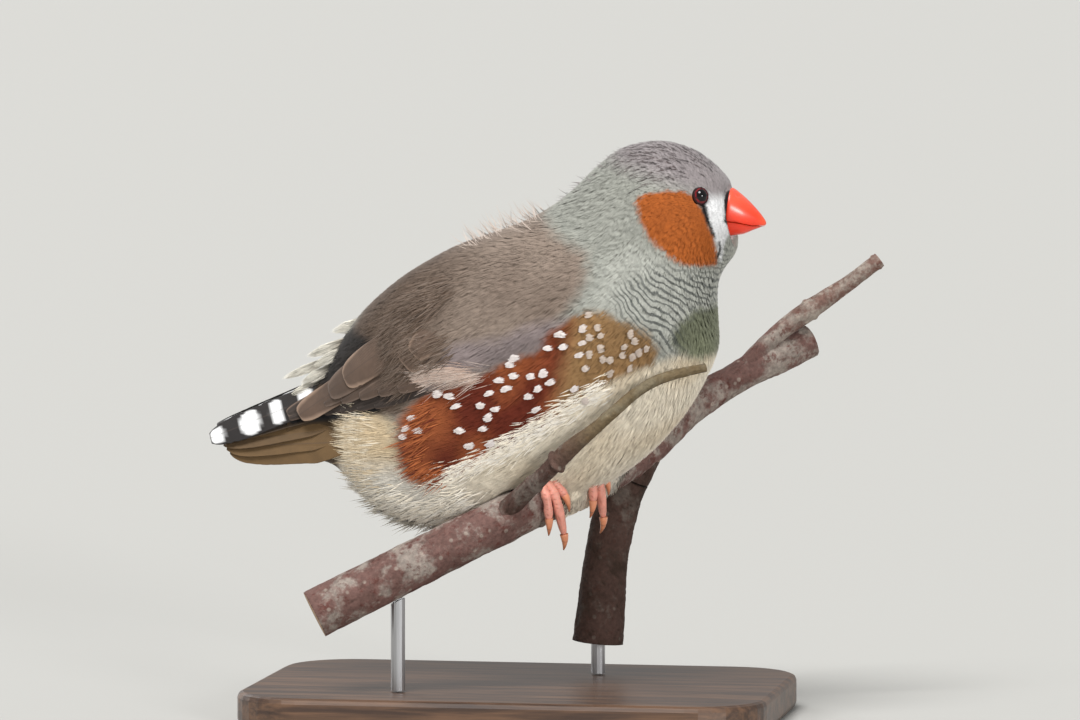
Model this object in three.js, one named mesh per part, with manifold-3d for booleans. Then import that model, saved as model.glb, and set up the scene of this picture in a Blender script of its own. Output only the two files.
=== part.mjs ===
// A male zebra finch, life size, perched across a short cut branch that two rods hold over a plain base.
// Millimetres, +Z up, +X the way the bird faces, +Y its left side.
// The origin is the centre of the base's underside.
import * as THREE from "three";
import { mergeVertices } from "three/addons/utils/BufferGeometryUtils.js";
import Module from "manifold-3d";

const wasm = await Module();
wasm.setup();

// Driving dimensions
const GAP = 0.3; // between neighbouring pieces
const WING_CLEARANCE = 0.4; // from the body to the wing's inner face
const SECTION_POWER = 2.2; // of the body's cross-sections: 2 is an ellipse
const EYE_RADIUS = 1.85;
const EYE_CENTRE = { x: 34.4, z: 95.1, depth: 1.0 }; // depth is below the feathers
const LID = { radius: 1.6, thickness: 0.42 };
const MOUTH_GAP = 0.3;
const SLIT_WIDTH = 12; // of the cut that opens the mouth, wider than the bill
const NOSTRIL = { x: 39.9, y: 1.7, z: 95.0, radius: 0.5 };
const TOE_RADIUS = 0.95;
const TOE_WAIST = 0.14; // how much thinner a toe is between its joints, as a share
const CLAW = { length: 4.2, curl: 0.38, radius: 0.66, tip: 0.14 };
const TARSUS_RADIUS = 1.1;
const FOOT_HOLLOW = { reach: 4.5, depth: 3.0 }; // in the belly: along the branch, and outwards
const BASE = { length: 96, width: 64, height: 6, corner: 12, bevel: 1 };
const ROD_RADIUS = 1.3;
const ROD_SHARES = { branch: 0.1, stem: 1 }; // where each rod meets its limb, along the limb

// The body's outline, from the root of the bill to the tip of the tail. Each row is a section:
// its point on the back and its point underneath, as x and z, and its half width.
const SECTIONS = [
  { back: [39.0, 96.5], under: [38.0, 87.4], half: 4.2 },
  { back: [37.7, 98.3], under: [39.6, 85.9], half: 5.9 },
  { back: [35.4, 100.5], under: [39.0, 83.9], half: 7.6 },
  { back: [31.8, 103.0], under: [37.3, 81.6], half: 9.2 },
  { back: [27.3, 104.4], under: [36.2, 79.2], half: 10.4 },
  { back: [23.1, 104.4], under: [35.9, 76.6], half: 11.4 },
  { back: [18.4, 103.1], under: [36.0, 73.9], half: 12.2 },
  { back: [14.0, 99.8], under: [36.2, 71.0], half: 13.0 },
  { back: [9.2, 95.2], under: [36.3, 68.0], half: 14.3 },
  { back: [3.4, 91.2], under: [35.4, 64.6], half: 15.8 },
  { back: [-3.7, 88.2], under: [33.2, 60.2], half: 17.0 },
  { back: [-11.3, 85.5], under: [29.3, 54.2], half: 17.8 },
  { back: [-17.9, 82.0], under: [22.8, 47.3], half: 18.0 },
  { back: [-22.6, 78.9], under: [12.9, 40.8], half: 17.4 },
  { back: [-26.3, 75.8], under: [0.6, 36.6], half: 16.0 },
  { back: [-29.3, 72.8], under: [-10.8, 34.9], half: 13.8 },
  { back: [-31.5, 69.8], under: [-19.8, 35.6], half: 11.4 },
  { back: [-33.4, 67.0], under: [-26.6, 38.4], half: 9.0 },
  { back: [-35.0, 64.0], under: [-31.4, 41.8], half: 6.9 },
  { back: [-37.0, 61.2], under: [-35.0, 44.8], half: 5.6 },
  { back: [-41.0, 58.4], under: [-40.8, 45.8], half: 4.9 },
  { back: [-48.4, 54.9], under: [-48.4, 46.2], half: 4.4 },
  { back: [-56.4, 51.2], under: [-55.0, 47.4], half: 3.4 },
];
const TORSO_END = 19; // the section where the tail begins
const HEAD_CUT = { back: [13, 99.5], under: [37.0, 78.2] };
const NECK_CUT = { back: [1.5, 91.5], under: [36.5, 66.4] };

// The bill, as sections of the same kind, and the line of the mouth from its tip back to the gape.
const BILL = [
  { back: [39.3, 96.0], under: [38.5, 87.6], half: 3.7 },
  { back: [41.6, 94.1], under: [40.7, 87.9], half: 2.9 },
  { back: [43.7, 91.9], under: [42.9, 88.7], half: 1.7 },
  { back: [45.1, 90.0], under: [44.8, 89.4], half: 0.45 },
];
const MOUTH_LINE = [
  [47, 89.7],
  [45, 89.6],
  [42.5, 89.5],
  [40, 90.3],
  [37.5, 90.6],
];

// The branch: each length is a line of points with a radius at each one.
const BRANCH = [
  { at: [-33.2, -23.1, 20.2], radius: 4.6 },
  { at: [-18.9, -18.6, 27.6], radius: 4.5 },
  { at: [-5.0, -13.6, 34.6], radius: 4.4 },
  { at: [3.4, -8.9, 38.8], radius: 4.3 },
  { at: [9.0, -2.6, 41.2], radius: 4.0 },
  { at: [14.0, 5.2, 43.6], radius: 4.0 },
  { at: [20.0, 14.6, 47.6], radius: 4.1 },
  { at: [27.5, 21.8, 54.6], radius: 3.5 },
  { at: [35.7, 27.6, 60.0], radius: 3.1 },
  { at: [42.8, 31.6, 63.8], radius: 3.4 },
  { at: [48.3, 34.9, 66.5], radius: 3.3 },
];
const STEM = [
  { at: [20.0, 15.0, 47.0], radius: 4.0 },
  { at: [15.8, 15.0, 38.0], radius: 4.2 },
  { at: [13.4, 14.6, 27.0], radius: 4.3 },
  { at: [12.0, 14.3, 12.0], radius: 4.9 },
];
const SHOOT = [
  { at: [35.7, 27.6, 60.0], radius: 2.0 },
  { at: [38.6, 28.5, 63.5], radius: 1.9 },
  { at: [42.9, 30.0, 68.0], radius: 1.8 },
  { at: [48.0, 31.8, 72.0], radius: 2.0 },
  { at: [54.9, 34.1, 76.8], radius: 1.6 },
  { at: [61.0, 36.1, 81.5], radius: 1.5 },
];
const TWIG = [
  { at: [-2.0, -12.5, 36.5], radius: 2.2 },
  { at: [2.0, -14.5, 40.5], radius: 1.9 },
  { at: [7.4, -18.0, 45.3], radius: 1.6 },
  { at: [12.2, -20.6, 49.9], radius: 1.7 },
  { at: [17.8, -21.2, 54.6], radius: 1.2 },
  { at: [24.6, -19.8, 60.6], radius: 1.1 },
  { at: [29.4, -17.8, 63.2], radius: 1.0 },
  { at: [36.2, -14.6, 64.8], radius: 0.9 },
];

// Where each foot stands, as a share of the branch's length, and where its leg meets the belly.
const FEET = [
  { name: "right", share: 0.325, ankle: [2.8, -4.6, 52.5] },
  { name: "left", share: 0.435, ankle: [8.2, 4.0, 53.5] },
];
// Each toe drifts so far along the branch while it winds round it by so many degrees, and then reaches
// straight on before the claw. The last one is the hind toe, which winds the other way.
const TOES = [
  { drift: -2.2, wind: 96, reach: 1.6, radius: 0.92 },
  { drift: 0.0, wind: 100, reach: 5.0, radius: 1.02 },
  { drift: 2.4, wind: 80, reach: 0, radius: 0.9 },
  { drift: 0.4, wind: -92, reach: 0.8, radius: 1.0 },
];

// The two edges of the wing's inner pad seen from the side. It runs from the shoulder to half way
// along the wing, under the feathers.
const PAD_UPPER = [
  [15.5, 80.5],
  [8.0, 84.0],
  [-1.0, 83.4],
  [-10.3, 79.8],
  [-19.5, 74.2],
];
const PAD_LOWER = [
  [15.8, 79.5],
  [12.4, 72.8],
  [3.6, 67.6],
  [-4.7, 64.4],
  [-14.0, 61.0],
];
const PAD_THICKNESS = 1.6;
const VANE = { thickness: 0.5, ridge: 0.12, cup: 0.012 }; // the cup bends it, per mm of width

// The wing's feathers seen from the side, in tiers from the lowest. Each tier runs from its first
// feather to its last, and gives their roots and tips, their width and how far they lie off the body.
const WING_TIERS = [
  {
    count: 3,
    roots: [[-6, 65.4], [-6, 69]],
    tips: [[-23, 58], [-35, 56.2]],
    width: 2.2,
    lift: [0.9, 0.45],
  },
  {
    count: 2,
    roots: [[-8, 69.6], [-8, 72]],
    tips: [[-38.4, 55.2], [-42, 54.8]],
    width: 3.0,
    lift: [0.9, 0.5],
  },
  {
    count: 3,
    roots: [[-3, 66], [-6, 72]],
    tips: [[-16, 61.2], [-31.5, 58.6]],
    width: 2.8,
    lift: [0.9, 1.3],
  },
  {
    count: 1,
    roots: [[-9, 73.5]],
    tips: [[-38.8, 55.2]],
    width: 5.0,
    lift: [1.2, 1.4],
  },
  {
    count: 1,
    roots: [[-7, 75.5]],
    tips: [[-30.6, 61.8]],
    width: 6.0,
    lift: [1.2, 2.25],
  },
  {
    count: 4,
    roots: [[9, 74.2], [-1, 74.6]],
    tips: [[3.2, 69], [-10.5, 66]],
    width: 3.9,
    lift: [1.0, 1.9],
  },
  {
    count: 1,
    roots: [[-4, 77.5]],
    tips: [[-18.2, 65.6]],
    width: 6.0,
    lift: [1.2, 3.1],
  },
  {
    count: 4,
    roots: [[12.5, 78], [1, 79.5]],
    tips: [[7, 73.6], [-6.8, 72.4]],
    width: 4.0,
    lift: [1.2, 2.4],
  },
];

// The tail, folded like a narrow roof. Each kind of feather runs from its first to its last on a side,
// with roots and tips as x, y and z, its width, and its slope to the side in degrees.
const TAIL_FEATHERS = [
  {
    count: 5,
    roots: [[-36, 1.75, 57.2], [-35, 3.7, 48.6]],
    tips: [[-55.8, 1.7, 50.3], [-53.8, 2.2, 47.2]],
    width: 3.1,
    slope: [12, 64],
  },
  {
    count: 2,
    roots: [[-36, 1.6, 59.8], [-36, 3.9, 57.8]],
    tips: [[-55.4, 1.5, 52.2], [-56.4, 3.3, 50.9]],
    width: 2.7,
    slope: [12, 50],
  },
];
// The tail's inner body, which ends half way along it.
const TAIL_CORE = [
  { back: [-37.3, 60.4], under: [-35.4, 45.4], half: 4.8 },
  { back: [-41.0, 56.4], under: [-40.8, 46.6], half: 3.2 },
  { back: [-44.6, 54.0], under: [-44.6, 47.2], half: 2.6 },
  { back: [-47.6, 51.6], under: [-47.6, 48.2], half: 1.8 },
];
// Pointed coverts that stand off the rump. Each has its root and tip seen from the side, how far
// it is from the middle, and its width.
const RUMP_POINTS = [
  { root: [-27.5, 71.5], tip: [-34.3, 69.6], y: 1.8, width: 2.4 },
  { root: [-30.6, 68.2], tip: [-38.9, 65.0], y: 2.6, width: 2.0 },
  { root: [-31.0, 66.4], tip: [-37.4, 63.4], y: 3.4, width: 2.2 },
  { root: [-33.0, 64.6], tip: [-43.3, 61.0], y: 2.2, width: 1.8 },
  { root: [-33.0, 62.9], tip: [-39.8, 60.2], y: 3.2, width: 2.2 },
];

const FEATHER_GREY = 0x8c8279;
const BREAST_GREY = 0xaaada5;
const BELLY_CREAM = 0xd6c7a8;
const BILL_ORANGE = 0xf04a26;
const FOOT_PINK = 0xe08a70;
const EYE_BROWN = 0x2a0d0c;
const TAIL_BLACK = 0x2a2724;
const BARK_BROWN = 0x6d5650;
const BASE_WOOD = 0x3b2f28;
const ROD_STEEL = 0x9a9a9a;

// Vectors

const vec = (p) => new THREE.Vector3(p[0], p[1], p[2]);

// A smooth value between the numbers of a list, at a place counted in list steps.
function along(list, place) {
  const last = list.length - 1;
  const i = Math.min(Math.max(Math.floor(place), 0), last - 1);
  const t = place - i;
  const [a, b, c, d] = [i - 1, i, i + 1, i + 2].map((k) => list[Math.min(Math.max(k, 0), last)]);
  const [u, v] = [(c - a) / 2, (d - b) / 2];
  return b + u * t + (3 * (c - b) - 2 * u - v) * t * t + (u + v - 2 * (c - b)) * t * t * t;
}

function pointAlong(points, place) {
  return vec([0, 1, 2].map((k) => along(points.map((p) => p[k]), place)));
}

// Closed solids

// A geometry's shape as a solid, with its shared corners merged and its faces turned outwards.
function solid(geometry) {
  const bare = geometry.clone();
  bare.deleteAttribute("normal");
  bare.deleteAttribute("uv");
  const merged = mergeVertices(bare, 1e-4);
  const vertProperties = new Float32Array(merged.attributes.position.array);
  const triVerts = new Uint32Array(merged.index.array);
  const corner = (i) => vec(vertProperties.subarray(3 * triVerts[i], 3 * triVerts[i] + 3));
  const faces = Array.from({ length: triVerts.length / 3 }, (_, i) => 3 * i);
  const volume = faces.reduce((sum, i) => sum + corner(i).dot(corner(i + 1).cross(corner(i + 2))), 0);
  if (volume < 0)
    for (const i of faces) [triVerts[i + 1], triVerts[i + 2]] = [triVerts[i + 2], triVerts[i + 1]];
  return new wasm.Manifold(new wasm.Mesh({ numProp: 3, vertProperties, triVerts }));
}

// A geometry with each corner moved to where the function puts it.
function shaped(geometry, place) {
  const position = geometry.attributes.position;
  for (let i = 0; i < position.count; i++) {
    const p = place(new THREE.Vector3().fromBufferAttribute(position, i));
    position.setXYZ(i, p.x, p.y, p.z);
  }
  return geometry;
}

// The largest closed surface of a solid, which drops loose scraps and sealed hollows.
const largest = (body) => body.decompose().sort((a, b) => b.volume() - a.volume())[0];

const joined = (solids) => solids.reduce((whole, piece) => whole.add(piece));

function ball(radius, centre, sides) {
  const sphere = new THREE.SphereGeometry(radius, sides, Math.round(sides * 0.6));
  return solid(sphere.translate(centre.x, centre.y, centre.z));
}

// The bird's body

// The sections between the ones listed: the back and underside points and the half width.
function sectionAt(list, place) {
  const value = (pick) => along(list.map(pick), place);
  return {
    back: vec([value((s) => s.back[0]), 0, value((s) => s.back[1])]),
    under: vec([value((s) => s.under[0]), 0, value((s) => s.under[1])]),
    half: value((s) => s.half),
  };
}

const rounded = (x) => Math.sign(x) * Math.abs(x) ** (2 / SECTION_POWER);

// A point of a section: the angle runs from the back, 0, down the left side, and share is 1 on
// the surface.
function onSection(section, angle, share = 1) {
  const centre = section.back.clone().add(section.under).multiplyScalar(0.5);
  const toBack = section.back.clone().sub(centre);
  centre.addScaledVector(toBack, share * rounded(Math.cos(angle)));
  centre.y += share * section.half * rounded(Math.sin(angle));
  return centre;
}

// The body's surface at a place along it and an angle round it, raised by a height.
function bodyPoint(place, angle, height = 0) {
  const step = 0.05;
  const at = (p, a) => onSection(sectionAt(SECTIONS, p), a);
  const point = at(place, angle);
  const alongBody = at(place + step, angle).sub(at(place - step, angle));
  const roundBody = at(place, angle + step).sub(at(place, angle - step));
  return point.addScaledVector(roundBody.cross(alongBody).normalize(), height);
}

// The place and angle of a point of the body seen from the side.
function fromSide(x, z) {
  let [low, high] = [0, SECTIONS.length - 1];
  const side = (place) => {
    const { back, under } = sectionAt(SECTIONS, place);
    return (under.x - back.x) * (z - back.z) - (under.z - back.z) * (x - back.x);
  };
  for (let i = 0; i < 40; i++) {
    const middle = (low + high) / 2;
    if (side(middle) < 0) low = middle;
    else high = middle;
  }
  const { back, under } = sectionAt(SECTIONS, low);
  const chord = under.clone().sub(back);
  const share = ((x - back.x) * chord.x + (z - back.z) * chord.z) / chord.lengthSq();
  const cosine = Math.min(Math.max(1 - 2 * share, -1), 1);
  const angle = Math.acos(Math.sign(cosine) * Math.abs(cosine) ** (SECTION_POWER / 2));
  return { place: low, angle };
}

// A tube with flat ends through sections, cut round by sides and along by rings.
function loft(list, from, to, sides, rings) {
  const tube = new THREE.CylinderGeometry(1, 1, 1, sides, rings);
  return solid(
    shaped(tube, (p) => {
      const place = from + (0.5 - p.y) * (to - from);
      return onSection(sectionAt(list, place), Math.atan2(p.x, p.z), Math.hypot(p.x, p.z));
    }),
  );
}

// A thin upright slab across the body, which parts it along a line seen from the side.
function cut(line) {
  const [back, under] = [line.back, line.under].map(([x, z]) => new THREE.Vector3(x, 0, z));
  const slab = new THREE.BoxGeometry(GAP, 60, back.distanceTo(under) * 2);
  slab.rotateY(Math.atan2(back.x - under.x, back.z - under.z));
  const middle = back.add(under).multiplyScalar(0.5);
  return solid(slab.translate(middle.x, 0, middle.z));
}

// Tubes along a line of points

// The point, its directions and the radius at a share of the way along a limb.
function limbAt(limb, share) {
  const place = share * (limb.length - 1);
  const points = limb.map((k) => k.at);
  const at = pointAlong(points, place);
  const ahead = pointAlong(points, place + 0.05).sub(pointAlong(points, place - 0.05)).normalize();
  const up = new THREE.Vector3(0, 0, 1).addScaledVector(ahead, -ahead.z).normalize();
  if (Math.abs(ahead.z) > 0.9) up.set(1, 0, 0).addScaledVector(ahead, -ahead.x).normalize();
  return { at, ahead, up, side: ahead.clone().cross(up), radius: along(limb.map((k) => k.radius), place) };
}

// A round solid along a limb. Extra is added to its radius, and to its length at both ends.
function limbSolid(limb, sides, rings, extra = 0) {
  const tube = new THREE.CylinderGeometry(1, 1, 1, sides, rings);
  return solid(
    shaped(tube, (p) => {
      const { at, ahead, up, side, radius } = limbAt(limb, 0.5 - p.y);
      const end = Math.abs(p.y) > 0.499 ? -Math.sign(p.y) * extra : 0;
      at.addScaledVector(ahead, end);
      return at.addScaledVector(up, p.z * (radius + extra)).addScaledVector(side, p.x * (radius + extra));
    }),
  );
}

// The perch, a forked branch in four lengths

const BRANCH_LENGTH = new THREE.CatmullRomCurve3(BRANCH.map((k) => vec(k.at))).getLength();
const branchSolid = limbSolid(BRANCH, 12, 24);
const branchRoom = limbSolid(BRANCH, 12, 24, GAP);
const stemSolid = largest(limbSolid(STEM, 12, 10).subtract(branchRoom));
const shootSolid = largest(limbSolid(SHOOT, 10, 12).subtract(branchRoom));
const twigSolid = largest(limbSolid(TWIG, 8, 18).subtract(branchRoom));

// Feet

// A toe with its joints and its claw.
function toeSolid(foot, toe) {
  const knots = [];
  const steps = 8;
  const put = (at, radius) => knots.push({ at: at.toArray(), radius });
  const waist = (share) => TOE_WAIST * Math.abs(Math.sin(share * 3.2 * Math.PI));
  const jointed = (share) => toe.radius * (1 - 0.2 * share) * (1 - waist(share));
  for (let i = 0; i <= steps; i++) {
    const share = i / steps;
    const angle = THREE.MathUtils.degToRad(toe.wind * share);
    const here = limbAt(BRANCH, foot.share + (toe.drift * share) / BRANCH_LENGTH);
    const out = here.up.multiplyScalar(Math.cos(angle)).addScaledVector(here.side, Math.sin(angle));
    put(here.at.addScaledVector(out, here.radius + toe.radius + GAP), jointed(share * 0.8));
  }
  const [before, last] = knots.slice(-2).map((k) => vec(k.at));
  const onward = last.clone().sub(before).normalize();
  const inward = limbAt(BRANCH, foot.share).at.sub(last).normalize();
  inward.addScaledVector(onward, -inward.dot(onward)).normalize();
  last.addScaledVector(onward, toe.reach);
  if (toe.reach > 0) put(last, jointed(1));
  for (const share of [0.25, 0.5, 0.75, 1]) {
    const at = last.clone().addScaledVector(onward, CLAW.length * share);
    at.addScaledVector(inward, CLAW.length * CLAW.curl * share * share);
    put(at, CLAW.radius * (1 - share) + CLAW.tip);
  }
  return limbSolid(knots, 7, 14);
}

// The top of the foot, where the toes meet under the ankle.
function footCentre(foot) {
  const here = limbAt(BRANCH, foot.share);
  return here.at.addScaledVector(here.up, here.radius + TOE_RADIUS + GAP);
}

const tarsus = (foot) => [
  { at: footCentre(foot).toArray(), radius: TARSUS_RADIUS },
  { at: foot.ankle, radius: TARSUS_RADIUS * 1.15 },
];

function footSolid(foot) {
  const pad = ball(TOE_RADIUS * 1.5, footCentre(foot), 10);
  const limbs = [limbSolid(tarsus(foot), 10, 3), ...TOES.map((toe) => toeSolid(foot, toe))];
  return largest(joined([pad, ...limbs]).subtract(branchRoom));
}

// Head, neck and torso

const eyeSide = fromSide(EYE_CENTRE.x, EYE_CENTRE.z);
const eyeCentre = (side) => bodyPoint(eyeSide.place, side * eyeSide.angle, -EYE_CENTRE.depth);
const eyeOutward = (side) =>
  bodyPoint(eyeSide.place, side * eyeSide.angle, 1).sub(bodyPoint(eyeSide.place, side * eyeSide.angle, 0));

// The ring of bare lids, lying on the feathers round the eye.
function lidRing(side) {
  const ring = new THREE.TorusGeometry(LID.radius, LID.thickness, 5, 16);
  const turn = new THREE.Quaternion().setFromUnitVectors(new THREE.Vector3(0, 0, 1), eyeOutward(side));
  ring.applyQuaternion(turn);
  const at = bodyPoint(eyeSide.place, side * eyeSide.angle, 0.05);
  return solid(ring.translate(at.x, at.y, at.z));
}

const SIDES = { right: -1, left: 1 };
const wholeBody = loft(SECTIONS, 0, TORSO_END, 26, 34);
const parted = wholeBody.subtract(cut(HEAD_CUT)).subtract(cut(NECK_CUT)).decompose();
const middleX = (body) => (body.boundingBox().min[0] + body.boundingBox().max[0]) / 2;
const [torsoWhole, neckSolid, headWhole] = parted.sort((a, b) => middleX(a) - middleX(b));

function headSolid() {
  const lidded = joined([headWhole, lidRing(-1), lidRing(1)]);
  const sockets = joined([-1, 1].map((side) => ball(EYE_RADIUS + GAP, eyeCentre(side), 14)));
  return largest(lidded.subtract(sockets));
}

// The torso parts round the perch, the feet and the legs, as the belly's feathers do.
function torsoSolid() {
  const perch = [branchRoom, limbSolid(STEM, 12, 10, GAP), limbSolid(TWIG, 8, 18, GAP)];
  const feet = FEET.map((foot) => {
    const beside = [-FOOT_HOLLOW.reach, 0, FOOT_HOLLOW.reach];
    const knots = beside.map((d) => limbAt(BRANCH, foot.share + d / BRANCH_LENGTH));
    const room = knots.map((k) => ({ at: k.at.toArray(), radius: k.radius + FOOT_HOLLOW.depth }));
    return limbSolid(room, 14, 4);
  });
  const legs = FEET.map((foot) => limbSolid(tarsus(foot), 10, 3, GAP));
  const points = [-1, 1].flatMap((side) => RUMP_POINTS.map((point) => rumpPoint(side, point)));
  return largest(joined([torsoWhole, ...points]).subtract(joined([...perch, ...feet, ...legs])));
}

// A pointed covert, flat and straight, that leaves the rump.
function rumpPoint(side, { root, tip, y, width }) {
  const [from, to] = [root, tip].map(([x, z]) => new THREE.Vector3(x, side * y, z));
  const ahead = to.clone().sub(from).normalize();
  return plate(3, 1, (a, b, face) => {
    const point = from.clone().lerp(to, a);
    const here = width * (1 - 0.85 * a * a);
    point.y += (face - 0.5) * VANE.thickness;
    point.z += (b - 0.5) * here * ahead.x;
    point.x -= (b - 0.5) * here * ahead.z;
    return point;
  });
}

// The bill, parted along the mouth

function billPieces() {
  const whole = loft(BILL, 0, BILL.length - 1, 18, 8);
  const line = MOUTH_LINE.map(([x, z]) => new THREE.Vector2(x, z));
  const top = new THREE.SplineCurve(line).getPoints(12);
  const bottom = top.map((p) => new THREE.Vector2(p.x, p.y - MOUTH_GAP)).reverse();
  const outline = new THREE.Shape([...top, ...bottom]);
  const slit = new THREE.ExtrudeGeometry(outline, { depth: SLIT_WIDTH, bevelEnabled: false });
  slit.rotateX(Math.PI / 2).translate(0, SLIT_WIDTH / 2, 0);
  const nostril = (side) => ball(NOSTRIL.radius, vec([NOSTRIL.x, side * NOSTRIL.y, NOSTRIL.z]), 8);
  const pieces = whole.subtract(solid(slit)).subtract(joined([nostril(-1), nostril(1)])).decompose();
  return pieces.sort((a, b) => b.volume() - a.volume()).slice(0, 2);
}

// Wings and tail

// A plate with an even grid, split alike on both faces. The function places each point:
// a runs along it and b across it, from 0 to 1, and face is 0 underneath and 1 on top.
function plate(stepsAlong, stepsAcross, place) {
  const points = [];
  const faces = [];
  const row = stepsAcross + 1;
  const index = (i, j, face) => face * (stepsAlong + 1) * row + i * row + j;
  for (const face of [0, 1])
    for (let i = 0; i <= stepsAlong; i++)
      for (let j = 0; j <= stepsAcross; j++) {
        const point = place(i / stepsAlong, j / stepsAcross, face);
        points.push(point.x, point.y, point.z);
      }
  const square = (a, b, c, d) => faces.push(a, b, c, a, c, d);
  for (let i = 0; i < stepsAlong; i++)
    for (let j = 0; j < stepsAcross; j++) {
      square(index(i, j, 1), index(i + 1, j, 1), index(i + 1, j + 1, 1), index(i, j + 1, 1));
      faces.push(index(i, j, 0), index(i + 1, j + 1, 0), index(i + 1, j, 0));
      faces.push(index(i, j, 0), index(i, j + 1, 0), index(i + 1, j + 1, 0));
    }
  const [lastRow, lastColumn] = [stepsAlong, stepsAcross];
  for (let i = 0; i < stepsAlong; i++) {
    const [here, next] = [(j, face) => index(i, j, face), (j, face) => index(i + 1, j, face)];
    square(here(0, 0), next(0, 0), next(0, 1), here(0, 1));
    square(here(lastColumn, 1), next(lastColumn, 1), next(lastColumn, 0), here(lastColumn, 0));
  }
  for (let j = 0; j < stepsAcross; j++) {
    square(index(0, j, 0), index(0, j, 1), index(0, j + 1, 1), index(0, j + 1, 0));
    const [here, next] = [(face) => index(lastRow, j, face), (face) => index(lastRow, j + 1, face)];
    square(here(0), next(0), next(1), here(1));
  }
  const geometry = new THREE.BufferGeometry();
  geometry.setAttribute("position", new THREE.Float32BufferAttribute(points, 3));
  geometry.setIndex(faces);
  return solid(geometry);
}

// The body's surface and its outward direction at a place and an angle
function surface({ place, angle }, side) {
  const point = bodyPoint(place, side * angle);
  return { point, outward: bodyPoint(place, side * angle, 1).sub(point) };
}

// How wide a feather is along its length: a narrow root, an even blade and a rounded tip.
function bladeWidth(a) {
  const tip = Math.max(1 - ((a - 0.45) / 0.57) ** 4, 0);
  return Math.min(0.55 + 1.6 * a, 1) * Math.sqrt(tip) + 0.02;
}

// One feather. The path gives the surface under it at each share of its length, and lift how far
// it lies above that at its root and at its tip.
function vane(steps, path, width, lift) {
  return plate(steps, 2, (share, b, face) => {
    const a = 1 - (1 - share) ** 1.35;
    const { point, outward } = path(a);
    const ahead = path(Math.min(a + 0.02, 1)).point.sub(path(Math.max(a - 0.02, 0)).point).normalize();
    const across = outward.clone().cross(ahead).normalize();
    const reach = (b - 0.5) * width * bladeWidth(a);
    const ridge = b === 0.5 ? VANE.ridge : 0;
    const thickness = VANE.thickness * (1 - 0.4 * a);
    const level = lift[0] + (lift[1] - lift[0]) * Math.min(1, 2.5 * a);
    const height = level - VANE.cup * reach * reach * 4 + face * (thickness + ridge);
    return point.addScaledVector(across, reach).addScaledVector(outward, height);
  });
}

const between = (a, b, share) => a.map((v, k) => v + (b[k] - v) * share);

// The wing's inner pad, thick along its middle and thin at its edges.
function wingPad(side) {
  return plate(10, 6, (a, b, face) => {
    const [upper, lower] = [PAD_UPPER, PAD_LOWER].map((edge) => {
      const place = a * (edge.length - 1);
      return [along(edge.map((p) => p[0]), place), along(edge.map((p) => p[1]), place)];
    });
    const { point, outward } = surface(fromSide(...between(upper, lower, b)), side);
    const across = Math.min(Math.max(b, 0.04), 0.96);
    const rise = Math.sqrt(Math.sin(Math.PI * across)) * Math.min(1, a * 5 + 0.3);
    return point.addScaledVector(outward, WING_CLEARANCE + face * PAD_THICKNESS * Math.max(rise, 0.35));
  });
}

// Calls make once for each feather of a tier, with its share of the way from the first to the last.
function eachOf(count, make) {
  return Array.from({ length: count }, (_, i) => make(count > 1 ? i / (count - 1) : 0));
}

function wingSolid(side) {
  const feathers = WING_TIERS.flatMap(({ count, roots, tips, width, lift }) =>
    eachOf(count, (share) => {
      const [root, tip] = [roots, tips].map((ends) => between(ends[0], ends.at(-1), share));
      const path = (a) => surface(fromSide(...between(root, tip, a)), side);
      return vane(width > 4.5 ? 5 : 4, path, width, lift);
    }),
  );
  return largest(joined([wingPad(side), ...feathers]));
}

// A straight feather between two points, sloping down to the side like a roof.
function straightVane(side, root, tip, width, slope) {
  const [from, to] = [root, tip].map(([x, y, z]) => new THREE.Vector3(x, side * y, z));
  const ahead = to.clone().sub(from).normalize();
  const angle = THREE.MathUtils.degToRad(slope);
  const outward = new THREE.Vector3(0, side * Math.sin(angle), Math.cos(angle));
  outward.addScaledVector(ahead, -outward.dot(ahead)).normalize();
  return vane(3, (a) => ({ point: from.clone().lerp(to, a), outward }), width, [0, 0]);
}

function tailSolid() {
  const feathers = [-1, 1].flatMap((side) =>
    TAIL_FEATHERS.flatMap(({ count, roots, tips, width, slope }) =>
      eachOf(count, (share) => {
        const [root, tip] = [roots, tips].map((ends) => between(ends[0], ends[1], share));
        return straightVane(side, root, tip, width, slope[0] + (slope[1] - slope[0]) * share);
      }),
    ),
  );
  const core = loft(TAIL_CORE, 0, TAIL_CORE.length - 1, 16, 6);
  const bodyEnd = loft(SECTIONS, TORSO_END - 2, TORSO_END + 0.03, 16, 4);
  return largest(joined([core, ...feathers]).subtract(bodyEnd));
}

// The display stand

function baseSolid() {
  const { length, width, height, corner, bevel } = BASE;
  const [x, y] = [length / 2 - bevel, width / 2 - bevel];
  const quarter = Math.PI / 2;
  const outline = new THREE.Shape();
  outline.moveTo(corner - x, -y);
  outline.lineTo(x - corner, -y).absarc(x - corner, corner - y, corner, -quarter, 0);
  outline.lineTo(x, y - corner).absarc(x - corner, y - corner, corner, 0, quarter);
  outline.lineTo(corner - x, y).absarc(corner - x, y - corner, corner, quarter, 2 * quarter);
  outline.lineTo(-x, corner - y).absarc(corner - x, corner - y, corner, 2 * quarter, 3 * quarter);
  const slab = new THREE.ExtrudeGeometry(outline, {
    depth: height - 2 * bevel,
    bevelThickness: bevel,
    bevelSize: bevel,
    bevelSegments: 2,
    curveSegments: 4,
  });
  return solid(slab.translate(0, 0, bevel));
}

// A rod from the base up to the underside of a limb, at a share of its length.
function rodSolid(limb, share) {
  const { at, radius } = limbAt(limb, share);
  const bottom = BASE.height + GAP;
  const top = at.z + radius;
  const rod = new THREE.CylinderGeometry(ROD_RADIUS, ROD_RADIUS, top - bottom, 16).rotateX(Math.PI / 2);
  return solid(rod.translate(at.x, at.y, (top + bottom) / 2));
}

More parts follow.
